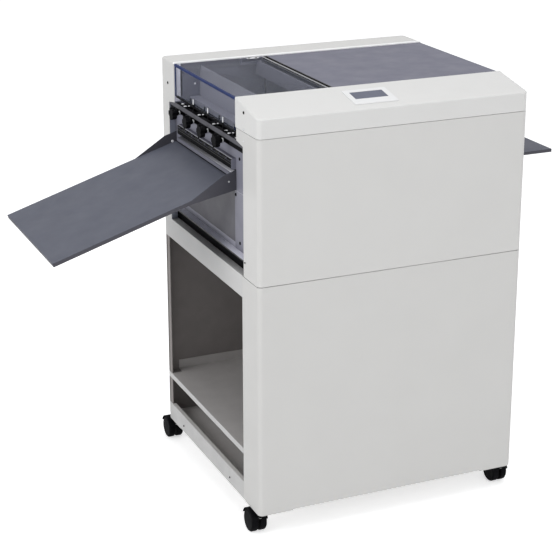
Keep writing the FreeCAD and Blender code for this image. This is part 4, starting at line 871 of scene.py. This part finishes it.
class CREASER_OT_hinged_covers(bpy.types.Operator):
    """Clear cover, lid and their hinges"""
    bl_idname = "creaser.hinged_covers"
    bl_label = "Hinged covers"
    bl_options = {"REGISTER", "UNDO"}

    def execute(self, context):
        dress("clear_cover", 0.2 * MM, above=spot(0, 0, CLEAR_FOOT_Z).z)
        first, last = (low("clear_cover").y - FRONT) / MM, (high("clear_cover").y - FRONT) / MM
        add_plates("clear_cover_edging", [(0.4, 6.2, 84, last - 9, 863.5, 867.5)],
                   "black_plastic", "clear_cover")
        add_plates("clear_cover_edge", [(0.1, 5.8, first + 0.5, last - 0.5, 936.8, 942.25)],
                   "clear_acrylic", "clear_cover", "blue_edge")
        add_plates("clear_cover_leaf", [(181, 211, *LEAF_Y, 942.0, 943.0)], "zinc_steel",
                   "clear_cover", "white_metal")
        screws = [((x, sum(LEAF_Y) / 2, 942.7), UP_WAY) for x in (186, 205)]
        add_screws("clear_cover_screws", screws, part_settings().screw_r * 0.8, "dark_steel",
                   "clear_cover")
        dress("top_lid", finish="grey_paint")
        dress("cover_hinges", finish="grey_paint")
        return {"FINISHED"}


class CREASER_OT_feed_end(bpy.types.Operator):
    """Feed end panel, table and side guides"""
    bl_idname = "creaser.feed_end"
    bl_label = "Feed end"
    bl_options = {"REGISTER", "UNDO"}

    def execute(self, context):
        for node in ("feed_end_panel", "feed_table", "feed_guide_front", "feed_guide_back"):
            dress(node)
        return {"FINISHED"}


class CREASER_OT_controls(bpy.types.Operator):
    """Screen with its bezel, mains inlet and switch"""
    bl_idname = "creaser.controls"
    bl_label = "Controls"
    bl_options = {"REGISTER", "UNDO"}

    def execute(self, context):
        dress("screen_bezel")
        finish_node("touch_screen")
        for node in ("power_inlet", "rocker_switch"):
            dress(node)
        return {"FINISHED"}


class CREASER_OT_works(bpy.types.Operator):
    """Frames, rollers, creasing unit and drive inside the covers"""
    bl_idname = "creaser.works"
    bl_label = "Works"
    bl_options = {"REGISTER", "UNDO"}

    def execute(self, context):
        for node in ("machine_base", "front_frame", "rear_frame", "exit_drive_roller",
                     "exit_press_roller", "infeed_drive_roller", "infeed_press_roller",
                     "pickup_roller", "creasing_beam", "creasing_anvil", "camshaft",
                     "drive_motor", "motor_pulley", "drive_belts", "control_board"):
            finish_node(node)
        return {"FINISHED"}


class CREASER_OT_castors(bpy.types.Operator):
    """Twin-wheel castors"""
    bl_idname = "creaser.castors"
    bl_label = "Castors"
    bl_options = {"REGISTER", "UNDO"}

    def execute(self, context):
        for corner in ("fl", "fr", "bl", "br"):
            dress("castor_hood_" + corner, 0.8 * MM, steps=3)
            dress("castor_wheels_" + corner, part_settings().tread_r, steps=4)
        return {"FINISHED"}


MAKERS = (CREASER_OT_stage, CREASER_OT_stand, CREASER_OT_covers, CREASER_OT_exit_end,
          CREASER_OT_guide_rail, CREASER_OT_hinged_covers, CREASER_OT_feed_end,
          CREASER_OT_controls, CREASER_OT_works, CREASER_OT_castors)


class CREASER_PT_panel(bpy.types.Panel):
    """Lists the pieces of the machine and their settings"""
    bl_idname = "CREASER_PT_panel"
    bl_label = "Paper Creaser"
    bl_space_type = "VIEW_3D"
    bl_region_type = "UI"
    bl_category = "Creaser"

    def draw(self, context):
        for maker in MAKERS:
            self.layout.operator(maker.bl_idname, text=maker.bl_label)
        for group in (stage_settings(), paint_settings(), part_settings()):
            box = self.layout.box()
            for name in group.__annotations__:
                box.prop(group, name)


GROUPS = {"creaser_stage": CreaserStage, "creaser_paint": CreaserPaint,
          "creaser_parts": CreaserParts}


def register():
    for kind in (*GROUPS.values(), *MAKERS, CREASER_PT_panel):
        bpy.utils.register_class(kind)
    for name, kind in GROUPS.items():
        setattr(bpy.types.Scene, name, bpy.props.PointerProperty(type=kind))


def unregister():
    for name in GROUPS:
        delattr(bpy.types.Scene, name)
    for kind in reversed((*GROUPS.values(), *MAKERS, CREASER_PT_panel)):
        bpy.utils.unregister_class(kind)


def main():
    register()
    make_finishes()
    bpy.ops.creaser.stage()
    bpy.ops.creaser.stand()
    bpy.ops.creaser.covers()
    bpy.ops.creaser.exit_end()
    bpy.ops.creaser.guide_rail()
    bpy.ops.creaser.hinged_covers()
    bpy.ops.creaser.feed_end()
    bpy.ops.creaser.controls()
    bpy.ops.creaser.works()
    bpy.ops.creaser.castors()


if __name__ == "__main__":
    main()
